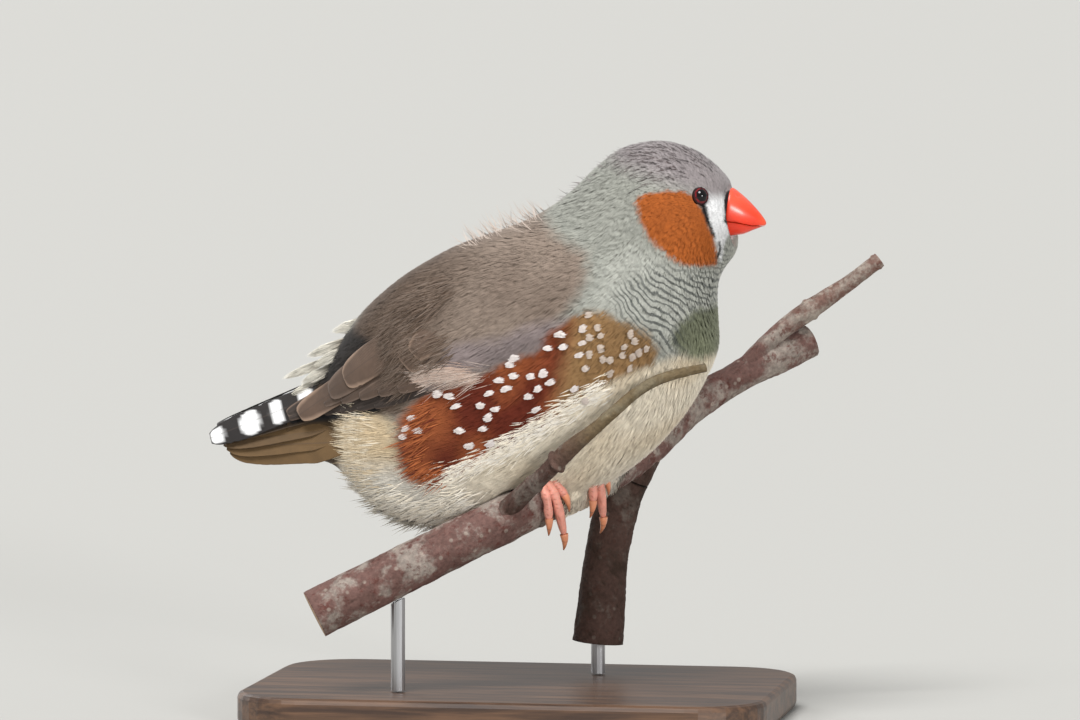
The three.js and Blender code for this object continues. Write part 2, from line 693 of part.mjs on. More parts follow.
const rodRoom = joined([branchRoom, limbSolid(STEM, 12, 10, GAP)]);
const rodUnder = (limb, share) => largest(rodSolid(limb, share).subtract(rodRoom));

// A mesh of a solid, with its own material
function meshOf(name, body, colour, roughness = 0.8, metalness = 0) {
  const { vertProperties, triVerts, numProp, numVert } = body.getMesh();
  const points = new Float32Array(numVert * 3);
  for (let i = 0; i < numVert; i++)
    points.set(vertProperties.subarray(i * numProp, i * numProp + 3), i * 3);
  const geometry = new THREE.BufferGeometry();
  geometry.setAttribute("position", new THREE.BufferAttribute(points, 3));
  geometry.setIndex(new THREE.BufferAttribute(triVerts, 1));
  geometry.computeVertexNormals();
  const material = new THREE.MeshStandardMaterial({ color: colour, roughness, metalness });
  const mesh = new THREE.Mesh(geometry, material);
  mesh.name = name;
  return mesh;
}

const [billUpper, billLower] = billPieces();
const bird = new THREE.Group();
bird.add(
  meshOf("head", headSolid(), BREAST_GREY),
  meshOf("neck", neckSolid, BREAST_GREY),
  meshOf("torso", torsoSolid(), BELLY_CREAM),
  meshOf("tail", tailSolid(), TAIL_BLACK),
  meshOf("bill_upper", billUpper, BILL_ORANGE, 0.35),
  meshOf("bill_lower", billLower, BILL_ORANGE, 0.35),
);
for (const [name, side] of Object.entries(SIDES)) {
  bird.add(meshOf("eye_" + name, ball(EYE_RADIUS, eyeCentre(side), 14), EYE_BROWN, 0.1));
  bird.add(meshOf("wing_" + name, wingSolid(side), FEATHER_GREY));
}
for (const foot of FEET) bird.add(meshOf("foot_" + foot.name, footSolid(foot), FOOT_PINK, 0.6));

const perch = new THREE.Group();
perch.add(
  meshOf("perch_branch", branchSolid, BARK_BROWN, 0.9),
  meshOf("perch_stem", stemSolid, BARK_BROWN, 0.9),
  meshOf("perch_shoot", shootSolid, BARK_BROWN, 0.9),
  meshOf("perch_twig", twigSolid, BARK_BROWN, 0.9),
);

const stand = new THREE.Group();
stand.add(
  meshOf("stand_base", baseSolid(), BASE_WOOD, 0.5),
  meshOf("stand_rod_branch", rodUnder(BRANCH, ROD_SHARES.branch), ROD_STEEL, 0.3, 1),
  meshOf("stand_rod_stem", rodUnder(STEM, ROD_SHARES.stem), ROD_STEEL, 0.3, 1),
);

const model = new THREE.Group();
model.add(bird, perch, stand);
export default model;
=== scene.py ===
# %% [markdown]
# A male zebra finch, as a still, life-size museum model on a cut branch.
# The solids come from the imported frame. This script dresses them: it lays feathers over
# the body, wings and tail, and gives the eyes, the bill, the feet and the bark their finish.
# Sizes are in millimetres here, as on a maker's drawing, and become metres in each mesh.

import itertools
import math

import bmesh
import bpy
import numpy as np
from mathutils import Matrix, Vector, noise


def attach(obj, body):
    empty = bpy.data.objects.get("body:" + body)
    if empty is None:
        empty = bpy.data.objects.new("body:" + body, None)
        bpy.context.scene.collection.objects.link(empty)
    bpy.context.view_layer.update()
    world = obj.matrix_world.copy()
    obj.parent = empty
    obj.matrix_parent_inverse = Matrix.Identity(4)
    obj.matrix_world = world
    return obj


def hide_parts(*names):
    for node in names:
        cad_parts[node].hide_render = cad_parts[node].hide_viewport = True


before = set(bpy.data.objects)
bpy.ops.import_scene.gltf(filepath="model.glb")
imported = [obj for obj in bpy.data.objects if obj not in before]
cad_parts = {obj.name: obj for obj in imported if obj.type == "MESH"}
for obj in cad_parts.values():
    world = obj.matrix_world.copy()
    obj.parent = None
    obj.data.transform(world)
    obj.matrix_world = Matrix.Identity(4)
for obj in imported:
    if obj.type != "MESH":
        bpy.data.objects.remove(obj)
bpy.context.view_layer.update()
scene = bpy.context.scene
MM = 0.001
rng = np.random.default_rng(12)
print("nodes in the frame:", sorted(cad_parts))

# %% [markdown]
# The camera comes first, so that every later step is judged from the right place.
# The bird is seen from its right side, a little from the front and a little from above,
# through a long lens that hardly shows perspective. The frame is 1080 by 720 pixels, and
# one millimetre of the bird fills 5.5 of them.

# %% Camera
PHOTO_SIZE = (1080, 720)
PIXELS_PER_MM = 5.5
ORIGIN_PIXEL = (520, 715)
VIEW_AZIMUTH = math.radians(10)
VIEW_ELEVATION = math.radians(4)
CAMERA_DISTANCE = 1200
SENSOR_WIDTH = 36
FARTHEST_SEEN = 20000

view_right = Vector((math.cos(VIEW_AZIMUTH), math.sin(VIEW_AZIMUTH), 0))
view_back = Vector((
    math.sin(VIEW_AZIMUTH) * math.cos(VIEW_ELEVATION),
    -math.cos(VIEW_AZIMUTH) * math.cos(VIEW_ELEVATION),
    math.sin(VIEW_ELEVATION),
))
view_up = view_back.cross(view_right)
aim = view_right * (PHOTO_SIZE[0] / 2 - ORIGIN_PIXEL[0]) / PIXELS_PER_MM
aim += view_up * (ORIGIN_PIXEL[1] - PHOTO_SIZE[1] / 2) / PIXELS_PER_MM
camera = bpy.data.objects.new("camera", bpy.data.cameras.new("camera"))
camera.data.sensor_width = SENSOR_WIDTH
camera.data.lens = SENSOR_WIDTH * CAMERA_DISTANCE / (PHOTO_SIZE[0] / PIXELS_PER_MM)
camera.data.clip_end = FARTHEST_SEEN * MM
camera.rotation_mode = "QUATERNION"
camera.rotation_quaternion = view_back.to_track_quat("Z", "Y")
camera.location = (aim + view_back * CAMERA_DISTANCE) * MM
scene.collection.objects.link(camera)
scene.camera = camera
scene.view_settings.view_transform = "Standard"
print("lens", round(camera.data.lens, 1), "mm")

# %% [markdown]
# Every piece starts as a bmesh shape that an operator makes, such as a sphere, a grid or a
# cone. A few helpers then turn it into a mesh, move its vertices to where the plan puts them
# and keep what the finish needs: a tone or a number for each vertex, and flat maps.

# %% Mesh helpers
def new_mesh(name, shape):
    """A smooth mesh from a bmesh, and its vertices as an array."""
    mesh = bpy.data.meshes.new(name)
    shape.to_mesh(mesh)
    shape.free()
    mesh.shade_smooth()
    flat = np.empty(len(mesh.vertices) * 3)
    mesh.vertices.foreach_get("co", flat)
    return mesh, flat.reshape(-1, 3)


def move_to(mesh, points):
    """Moves a mesh's vertices to points in millimetres."""
    mesh.vertices.foreach_set("co", (points * MM).astype(np.float32).ravel())


def outwards(mesh):
    """Turns a mesh's faces outwards."""
    shape = bmesh.new()
    shape.from_mesh(mesh)
    bmesh.ops.recalc_face_normals(shape, faces=shape.faces)
    shape.to_mesh(mesh)
    shape.free()


def store(mesh, name, values):
    """Keeps a colour or a number for each vertex."""
    if values.ndim == 2:
        layer = mesh.attributes.new(name, "FLOAT_COLOR", "POINT")
        values = np.concatenate([values, np.ones((len(values), 1))], axis=1)
        layer.data.foreach_set("color", values.astype(np.float32).ravel())
    else:
        layer = mesh.attributes.new(name, "FLOAT", "POINT")
        layer.data.foreach_set("value", values.astype(np.float32))


def corner_vertices(mesh):
    """The vertex at each corner of each face."""
    corners = np.empty(len(mesh.loops), dtype=np.int32)
    mesh.loops.foreach_get("vertex_index", corners)
    return corners


def add_map(mesh, name, corners):
    """Keeps a flat map, given as a place for each corner of each face."""
    mesh.uv_layers.new(name=name).data.foreach_set("uv", corners.astype(np.float32).ravel())


print("meshes so far:", len(bpy.data.meshes))

# %% [markdown]
# A pale table and soft lamps stand in for a photographer's studio. The daylight in an aviary
# comes from above, so the strongest lamp shines from over the bird, a weaker one fills its
# near side and one from behind draws its back. Distant lamps light the whole table evenly.
# Its far edge would show as a line, so the table is very large and the world has its tone.

# %% Table and lamps
def linear(red, green, blue):
    """A colour as it looks on a screen, 0 to 255, turned into amounts of light."""
    share = np.array([red, green, blue]) / 255
    return np.where(share <= 0.04045, share / 12.92, ((share + 0.055) / 1.055) ** 2.4)


def rgba(red, green, blue):
    return (*linear(red, green, blue), 1.0)


BIRD_MIDDLE = Vector((0, 0, 65))


def lamp(name, place, strength, softness):
    """A distant soft lamp that shines from a place towards the bird's middle."""
    light = bpy.data.lights.new(name, "SUN")
    light.angle = softness
    light.energy = strength
    holder = bpy.data.objects.new(name, light)
    holder.location = Vector(place) * MM
    aim_at = BIRD_MIDDLE - Vector(place)
    holder.rotation_mode = "QUATERNION"
    holder.rotation_quaternion = aim_at.to_track_quat("-Z", "Y")
    scene.collection.objects.link(holder)


TABLE_RADIUS = 9000
TABLE_DROP = 0.2
TABLE_PAINT = rgba(178, 177, 173)
SKY_LIGHT = rgba(226, 227, 226)
SKY_STRENGTH = 0.56
BACKDROP_TONE = rgba(222, 221, 217)
LAMPS = [
    # name, place, strength, softness as an angle
    ("lamp_over", (-120, -300, 650), 3.3, 0.5),
    ("lamp_near", (450, -600, 200), 1.5, 0.22),
    ("lamp_behind", (-450, 450, 350), 0.9, 0.5),
]
shape = bmesh.new()
bmesh.ops.create_circle(shape, cap_ends=True, segments=64, radius=TABLE_RADIUS * MM)
table_mesh, _ = new_mesh("table", shape)
table = bpy.data.objects.new("table", table_mesh)
table.location.z = -TABLE_DROP * MM
paint = bpy.data.materials.new("table_paint")
paint.use_nodes = True
paint.node_tree.nodes["Principled BSDF"].inputs["Base Color"].default_value = TABLE_PAINT
paint.node_tree.nodes["Principled BSDF"].inputs["Roughness"].default_value = 0.9
table_mesh.materials.append(paint)
scene.collection.objects.link(table)
for row in LAMPS:
    lamp(*row)
world = bpy.data.worlds.new("studio")
world.use_nodes = True
sky = world.node_tree
sky.nodes["Background"].inputs["Strength"].default_value = SKY_STRENGTH
sky.nodes["Background"].inputs["Color"].default_value = SKY_LIGHT
backdrop = sky.nodes.new("ShaderNodeBackground")
backdrop.inputs["Color"].default_value = BACKDROP_TONE
seen = sky.nodes.new("ShaderNodeLightPath")
either = sky.nodes.new("ShaderNodeMixShader")
sky.links.new(seen.outputs["Is Camera Ray"], either.inputs[0])
sky.links.new(sky.nodes["Background"].outputs[0], either.inputs[1])
sky.links.new(backdrop.outputs[0], either.inputs[2])
sky.links.new(either.outputs[0], sky.nodes["World Output"].inputs["Surface"])
scene.world = world
print(len(LAMPS), "lamps and a table")

# %% [markdown]
# The body's shape is held by sections, as on a ship's plan. Each has a point on the back, a
# point underneath and a half width, and a smooth curve runs through them. Feathers are
# placed by two numbers on this shape: the place along it, from the bill to the tail, and the
# angle round it, from 0 on the back over 90 degrees at the left side to 180 underneath.

# %% The body's sections
SECTIONS = np.array([
    # back x, back z, under x, under z, half width
    (39.0, 96.5, 38.0, 87.4, 4.2),
    (37.7, 98.3, 39.6, 85.9, 5.9),
    (35.4, 100.5, 39.0, 83.9, 7.6),
    (31.8, 103.0, 37.3, 81.6, 9.2),
    (27.3, 104.4, 36.2, 79.2, 10.4),
    (23.1, 104.4, 35.9, 76.6, 11.4),
    (18.4, 103.1, 36.0, 73.9, 12.2),
    (14.0, 99.8, 36.2, 71.0, 13.0),
    (9.2, 95.2, 36.3, 68.0, 14.3),
    (3.4, 91.2, 35.4, 64.6, 15.8),
    (-3.7, 88.2, 33.2, 60.2, 17.0),
    (-11.3, 85.5, 29.3, 54.2, 17.8),
    (-17.9, 82.0, 22.8, 47.3, 18.0),
    (-22.6, 78.9, 12.9, 40.8, 17.4),
    (-26.3, 75.8, 0.6, 36.6, 16.0),
    (-29.3, 72.8, -10.8, 34.9, 13.8),
    (-31.5, 69.8, -19.8, 35.6, 11.4),
    (-33.4, 67.0, -26.6, 38.4, 9.0),
    (-35.0, 64.0, -31.4, 41.8, 6.9),
    (-37.0, 61.2, -35.0, 44.8, 5.6),
    (-41.0, 58.4, -40.8, 45.8, 4.9),
    (-48.4, 54.9, -48.4, 46.2, 4.4),
    (-56.4, 51.2, -55.0, 47.4, 3.4),
])
SECTION_POWER = 2.2  # 2 makes an ellipse, and more makes it fuller
BODY_END = 20.2
print(len(SECTIONS), "sections, of which the skin uses those up to", BODY_END)

# %% [markdown]
# A smooth curve through the rows gives every section between them, and from it come the
# surface point at a place and angle and the outward direction there. The way back, from a
# point on the side view to its place and angle, has no short formula, so the body's length
# is halved again and again until the right section is found.

# %% Reading the body's shape
PLACE_STEP, ANGLE_STEP = 0.05, 0.03
HALVINGS = 30


def read_rows(rows, place):
    """The rows' values at places between them, on a smooth curve through the rows."""
    rows = np.asarray(rows, float)
    last = len(rows) - 1
    place = np.clip(np.asarray(place, float), 0, last)
    low = np.minimum(place.astype(int), last - 1)
    t = (place - low)[..., None]
    a, b, c, d = (rows[np.clip(low + step, 0, last)] for step in (-1, 0, 1, 2))
    leave, arrive = (c - a) / 2, (d - b) / 2
    square = 3 * (c - b) - 2 * leave - arrive
    cube = leave + arrive - 2 * (c - b)
    return b + leave * t + square * t**2 + cube * t**3


def rounded(value):
    """Makes a circle's share into that of the fuller section."""
    return np.sign(value) * np.abs(value) ** (2 / SECTION_POWER)


def unit(vectors):
    """Vectors made one long."""
    return vectors / np.maximum(np.linalg.norm(vectors, axis=-1, keepdims=True), 1e-9)


def section_point(rows, place, angle, share=1.0):
    """A point of a shape given by sections. Share 0 is its middle and 1 its surface."""
    row = read_rows(rows, place)
    back, under, half = row[..., 0:2], row[..., 2:4], row[..., 4]
    middle = (back + under) / 2
    share = np.broadcast_to(share, half.shape)
    flat = middle + (back - middle) * (rounded(np.cos(angle)) * share)[..., None]
    return np.stack([flat[..., 0], half * rounded(np.sin(angle)) * share, flat[..., 1]], axis=-1)


def body_frame(place, angle):
    """The body's surface point, its outward direction, and the steps along and around it."""
    place, angle = np.broadcast_arrays(np.asarray(place, float), np.asarray(angle, float))
    point = section_point(SECTIONS, place, angle)
    before, after = np.maximum(place - PLACE_STEP, 0), np.minimum(place + PLACE_STEP, len(SECTIONS) - 1)
    along = section_point(SECTIONS, after, angle) - section_point(SECTIONS, before, angle)
    along = along / (after - before)[..., None]
    left, right = (section_point(SECTIONS, place, angle + turn) for turn in (ANGLE_STEP, -ANGLE_STEP))
    around = (left - right) / (2 * ANGLE_STEP)
    return point, unit(np.cross(around, along)), along, around


def from_side(x, z):
    """The place and angle of the surface point that a side view shows at x and z."""
    x, z = np.broadcast_arrays(np.asarray(x, float), np.asarray(z, float))
    low, high = np.zeros(x.shape), np.full(x.shape, len(SECTIONS) - 1.0)

    def from_back(place):
        """The way from a section's point on the back to its point underneath, and to x and z."""
        row = read_rows(SECTIONS, place)
        return row[..., 2] - row[..., 0], row[..., 3] - row[..., 1], x - row[..., 0], z - row[..., 1]

    for _ in range(HALVINGS):
        middle = (low + high) / 2
        down_x, down_z, to_x, to_z = from_back(middle)
        ahead = down_x * to_z - down_z * to_x < 0
        low, high = np.where(ahead, middle, low), np.where(ahead, high, middle)
    down_x, down_z, to_x, to_z = from_back(low)
    share = (to_x * down_x + to_z * down_z) / (down_x**2 + down_z**2)
    level = np.clip(1 - 2 * share, -1, 1)
    return low, np.arccos(np.sign(level) * np.abs(level) ** (SECTION_POWER / 2))


widest = section_point(SECTIONS, 12.0, math.pi / 2)
print("the body is widest near x", np.round(widest, 1))

# %% [markdown]
# The pattern of the plumage is drawn once, as outlines on the side view in millimetres, and
# read wherever a colour is needed: on the skin and on every feather. Both sides of the bird
# use the same drawing. A soft edge is a few tenths of a millimetre of blending, because
# feathers of two colours mingle where they meet. The last two marks are lines, not outlines.

# %% Outlines of the markings
MANTLE = [
    (6.5, 99.0), (5.0, 91.0), (9.5, 87.5), (14.5, 85.0), (15.0, 80.5), (13.0, 76.5), (10.5, 73.2),
    (8.0, 70.3), (-0.5, 65.5), (-10.0, 61.5), (-17.0, 57.5), (-20.0, 54.5), (-30.0, 56.0), (-26.0, 66.0),
    (-31.0, 69.3), (-26.0, 82.0), (-8.0, 95.0),
]
LILAC = [
    (12.0, 73.5), (8.0, 67.5), (-0.5, 64.8), (-9.0, 61.3), (-18.0, 59.0), (-19.5, 62.0), (-14.0, 66.0),
    (-8.0, 69.0), (0.0, 70.0), (6.0, 72.5),
]
RUMP = [
    (-24.0, 68.5), (-30.5, 70.5), (-37.0, 66.0), (-60.0, 58.0), (-60.0, 52.0), (-42.0, 56.0), (-31.0, 57.5),
    (-23.0, 60.0),
]
THROAT = [
    (40.0, 90.0), (37.6, 84.0), (35.0, 82.0), (31.0, 82.6), (27.0, 84.5), (23.0, 86.0), (18.0, 83.5),
    (15.5, 79.0), (14.5, 76.0), (18.5, 74.6), (25.5, 70.8), (27.8, 67.0), (33.0, 65.8), (40.0, 66.0),
]
BARRED = [
    (38.5, 86.0), (36.0, 81.6), (31.5, 81.8), (27.5, 82.5), (23.0, 81.0), (19.5, 77.8), (21.0, 74.0),
    (26.0, 69.5), (28.5, 67.0), (31.5, 67.4), (31.0, 71.8), (33.5, 74.6), (38.5, 75.8),
]
BREAST_BAND = [
    (30.2, 71.6), (33.0, 74.4), (39.0, 75.4), (39.0, 67.2), (36.0, 66.0), (33.6, 65.8), (31.3, 67.0),
    (29.6, 69.0),
]
BELLY = [
    (40.0, 67.4), (36.0, 66.2), (33.6, 65.8), (31.0, 66.6), (26.4, 65.2), (19.3, 62.3), (12.1, 57.6),
    (7.0, 54.6), (2.8, 51.3), (-4.8, 47.0), (-12.6, 43.2), (-17.2, 42.6), (-20.0, 47.5), (-21.0, 54.0),
    (-27.0, 57.6), (-40.0, 54.0), (-50.0, 30.0), (40.0, 30.0),
]
FLANK = [
    (25.8, 70.8), (18.2, 74.4), (14.4, 74.8), (11.0, 72.6), (8.2, 70.4), (6.6, 67.4), (-0.5, 65.0),
    (-6.5, 61.8), (-15.6, 58.9), (-19.8, 54.5), (-20.0, 49.0), (-17.4, 43.2), (-12.6, 43.0), (-4.8, 46.8),
    (2.8, 51.1), (12.1, 57.4), (19.3, 62.1), (26.6, 65.2), (27.6, 67.6),
]
CHEEK = [
    (23.0, 93.6), (23.4, 94.9), (26.3, 95.7), (29.0, 96.0), (31.4, 95.9), (32.9, 95.2), (34.0, 93.6),
    (35.1, 91.8), (35.7, 89.5), (36.4, 87.9), (36.8, 85.8), (36.9, 83.9), (36.6, 82.4), (34.5, 82.4),
    (31.5, 82.8), (29.2, 84.5), (27.0, 86.0), (25.4, 88.1), (24.0, 90.8),
]
LORE = [
    (35.6, 97.0), (38.9, 96.6), (39.4, 92.0), (39.2, 88.4), (38.2, 86.4), (37.8, 84.4), (37.3, 83.0),
    (37.0, 84.2), (37.0, 85.8), (36.6, 87.8), (36.0, 89.6), (35.4, 91.4), (34.8, 93.2), (35.6, 94.8),
]
# A painted shadow: the black under the folded wing's lower edge, where the wing shades the flank.
WING_SHADOW = [
    (-18.5, 60.4), (-26.0, 57.0), (-42.0, 55.4), (-42.0, 52.6), (-27.0, 54.4), (-19.4, 58.2),
]
TAIL_ROOT = [
    (-31.5, 60.0), (-32.4, 50.0), (-33.4, 42.0), (-60.0, 40.0), (-60.0, 58.0),
]
TEAR = [
    (34.8, 93.6), (35.1, 92.3), (35.5, 91.1), (36.1, 89.4), (36.7, 87.7),
]
CHIN_STREAK = [
    (37.4, 86.7), (37.5, 85.8), (37.2, 84.6), (36.9, 83.9),
]
print("cheek patch", round(max(p[0] for p in CHEEK) - min(p[0] for p in CHEEK), 1), "mm long")

# %% [markdown]
# A point is inside an outline if a line from it to one side crosses the edge an odd number of
# times. Its distance from the edge then gives the soft border. The unevenness that a real
# coat has everywhere is a sum of a few long waves in odd directions.

# %% Reading the drawing
def smooth(value, low, high):
    """0 below low, 1 above high and an even rise between them."""
    t = np.clip((value - low) / (high - low), 0, 1)
    return t * t * (3 - 2 * t)


def line_distance(x, z, points):
    """How far each x and z is from a line through the points."""
    nearest = np.full(x.shape, 1e9)
    for (ax, az), (bx, bz) in zip(points, points[1:]):
        ex, ez = bx - ax, bz - az
        t = np.clip(((x - ax) * ex + (z - az) * ez) / (ex * ex + ez * ez), 0, 1)
        nearest = np.minimum(nearest, np.hypot(x - ax - t * ex, z - az - t * ez))
    return nearest


def inside(x, z, outline, soft):
    """1 inside a closed outline, 0 outside it, with a soft edge of that many millimetres."""
    corners = np.array(outline)
    mask = np.zeros(x.shape)
    near = (x > corners[:, 0].min() - soft) & (x < corners[:, 0].max() + soft)
    near &= (z > corners[:, 1].min() - soft) & (z < corners[:, 1].max() + soft)
    px, pz = x[near], z[near]
    within = np.zeros(px.shape, bool)
    for (ax, az), (bx, bz) in zip(outline, outline[1:] + outline[:1]):
        if az != bz:
            within ^= ((az > pz) != (bz > pz)) & (px < (bx - ax) * (pz - az) / (bz - az) + ax)
    distance = line_distance(px, pz, outline + outline[:1])
    mask[near] = smooth(np.where(within, distance, -distance), -soft, soft)
    return mask


RIPPLE_WAVES, RIPPLE_HEIGHT = 5, 2.4


def ripple(points, size, seed):
    """A soft uneven pattern between about -1 and 1, whose lumps have that size."""
    turn = np.random.default_rng(seed)
    total = np.zeros(points.shape[:-1])
    for _ in range(RIPPLE_WAVES):
        direction = unit(turn.normal(size=3)) * 2 * math.pi / (size * turn.uniform(1.2, 2.6))
        total += np.sin(points @ direction + turn.uniform(0, 6.3))
    return total / RIPPLE_HEIGHT


print("the cheek's middle is", inside(np.array([30.0]), np.array([90.0]), CHEEK, 0.35)[0], "inside it")

# %% [markdown]
# The colours are those of a grown male: grey head and nape, an orange cheek, black and white
# beside the bill, a pale throat with fine dark bars, a dark band on the breast, a chestnut
# flank that turns olive towards the front, a cream belly, and a grey-brown back that darkens
# towards the rear, partly as painted shade. A painted shadow lies under the folded wing. They
# are laid one over the other in order, as a painter would, from the large areas to the small.

# %% Colours of the markings
CROWN_GREY = linear(148, 140, 140)
CROWN_DARK = linear(70, 58, 57)
NAPE_GREY = linear(159, 160, 151)
THROAT_GREY = linear(181, 182, 173)
MANTLE_BROWN = linear(146, 130, 117)
MANTLE_DARK = linear(126, 110, 98)
# The mantle's darker rear tone: partly the bird's own browner back, partly painted shade away from the light
# at the front.
MANTLE_BACK_SHADED = linear(84, 67, 54)
LILAC_GREY = linear(142, 129, 127)
RUMP_BLACK = linear(40, 35, 32)
BAND_OLIVE = linear(122, 126, 102)
BELLY_CREAM = linear(246, 234, 212)
BELLY_TAN = linear(222, 198, 160)
VENT_WHITE = linear(246, 240, 228)
CHESTNUT = linear(104, 37, 17)
CHESTNUT_LIGHT = linear(190, 108, 60)
FLANK_OLIVE = linear(150, 116, 76)
CHEEK_ORANGE = linear(171, 90, 33)
CHEEK_DEEP = linear(180, 95, 34)
TAIL_OLIVE = linear(98, 75, 46)
WHITE = linear(240, 240, 240)
BLACK = linear(18, 17, 18)
print("the chestnut in amounts of light:", np.round(CHESTNUT, 3))

# %% [markdown]
# The plumage is laid layer by layer. Some layers shade from one colour to another, and most
# have a slight uneven grain. The strokes of the face are lines with a width. The black beside
# the bill hugs its root, so it is given by how far it reaches from there at each height.

# %% The plumage as colours
STROKES = [
    # line, half width, how much it tapers
    (TEAR, 0.46, 0.55),
    (CHIN_STREAK, 0.20, 0.0),
]
STROKE_EDGE = 0.16
BILL_ROOT_HALF_WIDTH = 3.75
BILL_ROOT_MIDDLE, BILL_ROOT_HALF_HEIGHT = 91.8, 4.4
BILL_BLACK = [
    # height, and reach in sizes of the bill's root
    (89.2, 0.9), (89.8, 1.62), (90.5, 1.82), (91.1, 1.74), (91.8, 1.56), (93.0, 1.60), (94.5, 1.54),
    (95.6, 1.25), (96.0, 0.9),
]
GRAIN_SIZE, GRAIN_SEED = 6.0, 1


def over(colour, layer, mask):
    """A colour with a layer laid over it where the mask is 1."""
    return colour + (layer - colour) * mask[..., None]


def shaded(first, last, share):
    """A colour that turns from the first to the last."""
    return over(np.broadcast_to(first, (*share.shape, 3)), last, share)


def layers(x, z, grain):
    """The plumage's layers from the lowest to the highest, each a colour and where it shows.
    The numbers are places on the side view, the widths of soft edges and shares of a colour."""
    uneven = grain[..., None]
    yield CROWN_GREY, smooth(z + 0.35 * x, 104.0, 110.0) * smooth(x, 12, 20)
    yield THROAT_GREY, inside(x, z, THROAT, 2.5)
    brown = shaded(MANTLE_BROWN, MANTLE_DARK, np.clip(0.3 + 0.4 * grain, 0, 1))
    # The mantle darkens towards the rear and the top: partly the bird's own darker back, partly painted shade
    # on the side turned from the light.
    brown = over(brown, MANTLE_BACK_SHADED, 0.85 * smooth(0.3 * (z - 75) - x, 2, 22))
    yield brown, inside(x, z, MANTLE, 1.6)
    yield LILAC_GREY * (1 + 0.08 * uneven), inside(x, z, LILAC, 1.4)
    yield RUMP_BLACK, inside(x, z, RUMP, 0.7)
    cream = BELLY_CREAM + (BELLY_TAN - BELLY_CREAM) * np.clip(0.12 + 0.25 * uneven, 0, 1)
    vent = smooth(-x, 2, 16)
    cream = over(over(cream, VENT_WHITE, vent), BELLY_TAN, 0.95 * (vent * smooth(z, 43, 49)))
    yield cream, inside(x, z, BELLY, 0.9)
    rust = shaded(CHESTNUT, CHESTNUT_LIGHT, np.clip(0.12 + 0.5 * grain, 0, 0.7))
    pale_back = smooth(-x, 12, 19) * smooth(z, 46, 58)
    pale_top = smooth(z + 0.12 * x, 61, 66) * smooth(-x, -14, 2)
    rust = over(rust, CHESTNUT_LIGHT, 0.7 * np.maximum(pale_back, pale_top))
    rust = over(rust, FLANK_OLIVE * (1 + 0.12 * uneven), smooth(x - 0.2 * (z - 66), 8.5, 13.5))
    yield rust, inside(x, z, FLANK, 0.7)
    yield TAIL_OLIVE * 0.7, inside(x, z, TAIL_ROOT, 0.8)
    # The painted shadow under the wing.
    yield BLACK * 1.6, inside(x, z, WING_SHADOW, 0.5)
    yield BAND_OLIVE * (1 + 0.15 * uneven), inside(x, z, BREAST_BAND, 0.8)
    yield shaded(CHEEK_ORANGE, CHEEK_DEEP, smooth(89 - z + 0.3 * (x - 30), -3, 6)), inside(x, z, CHEEK, 0.35)
    yield shaded(WHITE, CROWN_GREY, smooth(z, 93.6, 96.2)), inside(x, z, LORE, 0.25)
    for line, width, taper in STROKES:
        here = width * (1 - taper * smooth(line[0][1] - z, 0, line[0][1] - line[-1][1]))
        yield BLACK, 1 - smooth(line_distance(x, z, line), here - STROKE_EDGE, here + STROKE_EDGE)


def black_at_bill(x, y, z):
    """1 in the black beside the bill's root, on the face only."""
    root_sizes = np.hypot(y / BILL_ROOT_HALF_WIDTH, (z - BILL_ROOT_MIDDLE) / BILL_ROOT_HALF_HEIGHT)
    reach = np.interp(z, *np.transpose(BILL_BLACK))
    return (1 - smooth(root_sizes, reach - 0.12, reach + 0.03)) * smooth(x, 33.5, 34.5)


def markings(points, waver):
    """The plumage's colour at each point, and how much the throat's bars show there.
    Waver moves the drawing a little, a different way for each tuft, so that edges mingle."""
    shifted = points + waver
    x, y, z = shifted[..., 0], np.abs(points[..., 1]), shifted[..., 2]
    colour = np.broadcast_to(NAPE_GREY, points.shape)
    for layer, mask in layers(x, z, ripple(points, GRAIN_SIZE, GRAIN_SEED)):
        colour = over(colour, layer, mask)
    colour = over(colour, BLACK, black_at_bill(x, y, z))
    return np.clip(colour, 0, 1), inside(x, z, BARRED, 2.0)


print("breast band", np.round(markings(np.array([[35.5, 0.0, 70.0]]), np.zeros((1, 3)))[0], 3))

# %% [markdown]
# Shaders are nodes, and a short helper keeps them readable: it adds a node, sets its options,
# and fills or links its sockets by name. Others add sums, smooth steps, noise and the values
# that were stored at the vertices.

# %% Shader helpers
def node(tree, kind, options=None, **sockets):
    """Adds a shader node. A socket is given a number, a colour or another node's output."""
    made = tree.nodes.new("ShaderNode" + kind)
    for name, value in (options or {}).items():
        setattr(made, name, value)
    for name, value in sockets.items():
        socket = made.inputs[int(name[1:])] if name[0] == "_" else made.inputs[name.replace("_", " ")]
        if isinstance(value, bpy.types.NodeSocket):
            tree.links.new(value, socket)
        else:
            socket.default_value = value
    return made


def mix(tree, factor, first, second, blend="MIX"):
    """The blend of two colours."""
    made = node(tree, "Mix", {"data_type": "RGBA", "blend_type": blend}, _0=factor, _6=first, _7=second)
    return made.outputs[2]


def arithmetic(operation):
    """A helper that adds a node for one kind of sum."""
    def add(tree, first, second=0.0):
        return node(tree, "Math", {"operation": operation}, _0=first, _1=second).outputs[0]
    return add


plus = arithmetic("ADD")
minus = arithmetic("SUBTRACT")
times = arithmetic("MULTIPLY")
sine = arithmetic("SINE")
size_of = arithmetic("ABSOLUTE")


def remap(tree, value, low, high, first=0.0, last=1.0):
    """A number that goes smoothly from first to last while the value goes from low to high."""
    made = node(tree, "MapRange", {"interpolation_type": "SMOOTHSTEP"}, Value=value,
                From_Min=low, From_Max=high, To_Min=first, To_Max=last)
    return made.outputs[0]


def cloudy(tree, place, per_metre, detail=2.0, **more):
    """Noise with about that many lumps to a metre."""
    return node(tree, "TexNoise", Vector=place, Scale=per_metre, Detail=detail, **more).outputs[0]


def stored(tree, name, output="Fac"):
    """A value that was kept for each vertex."""
    return node(tree, "Attribute", {"attribute_name": name}).outputs[output]


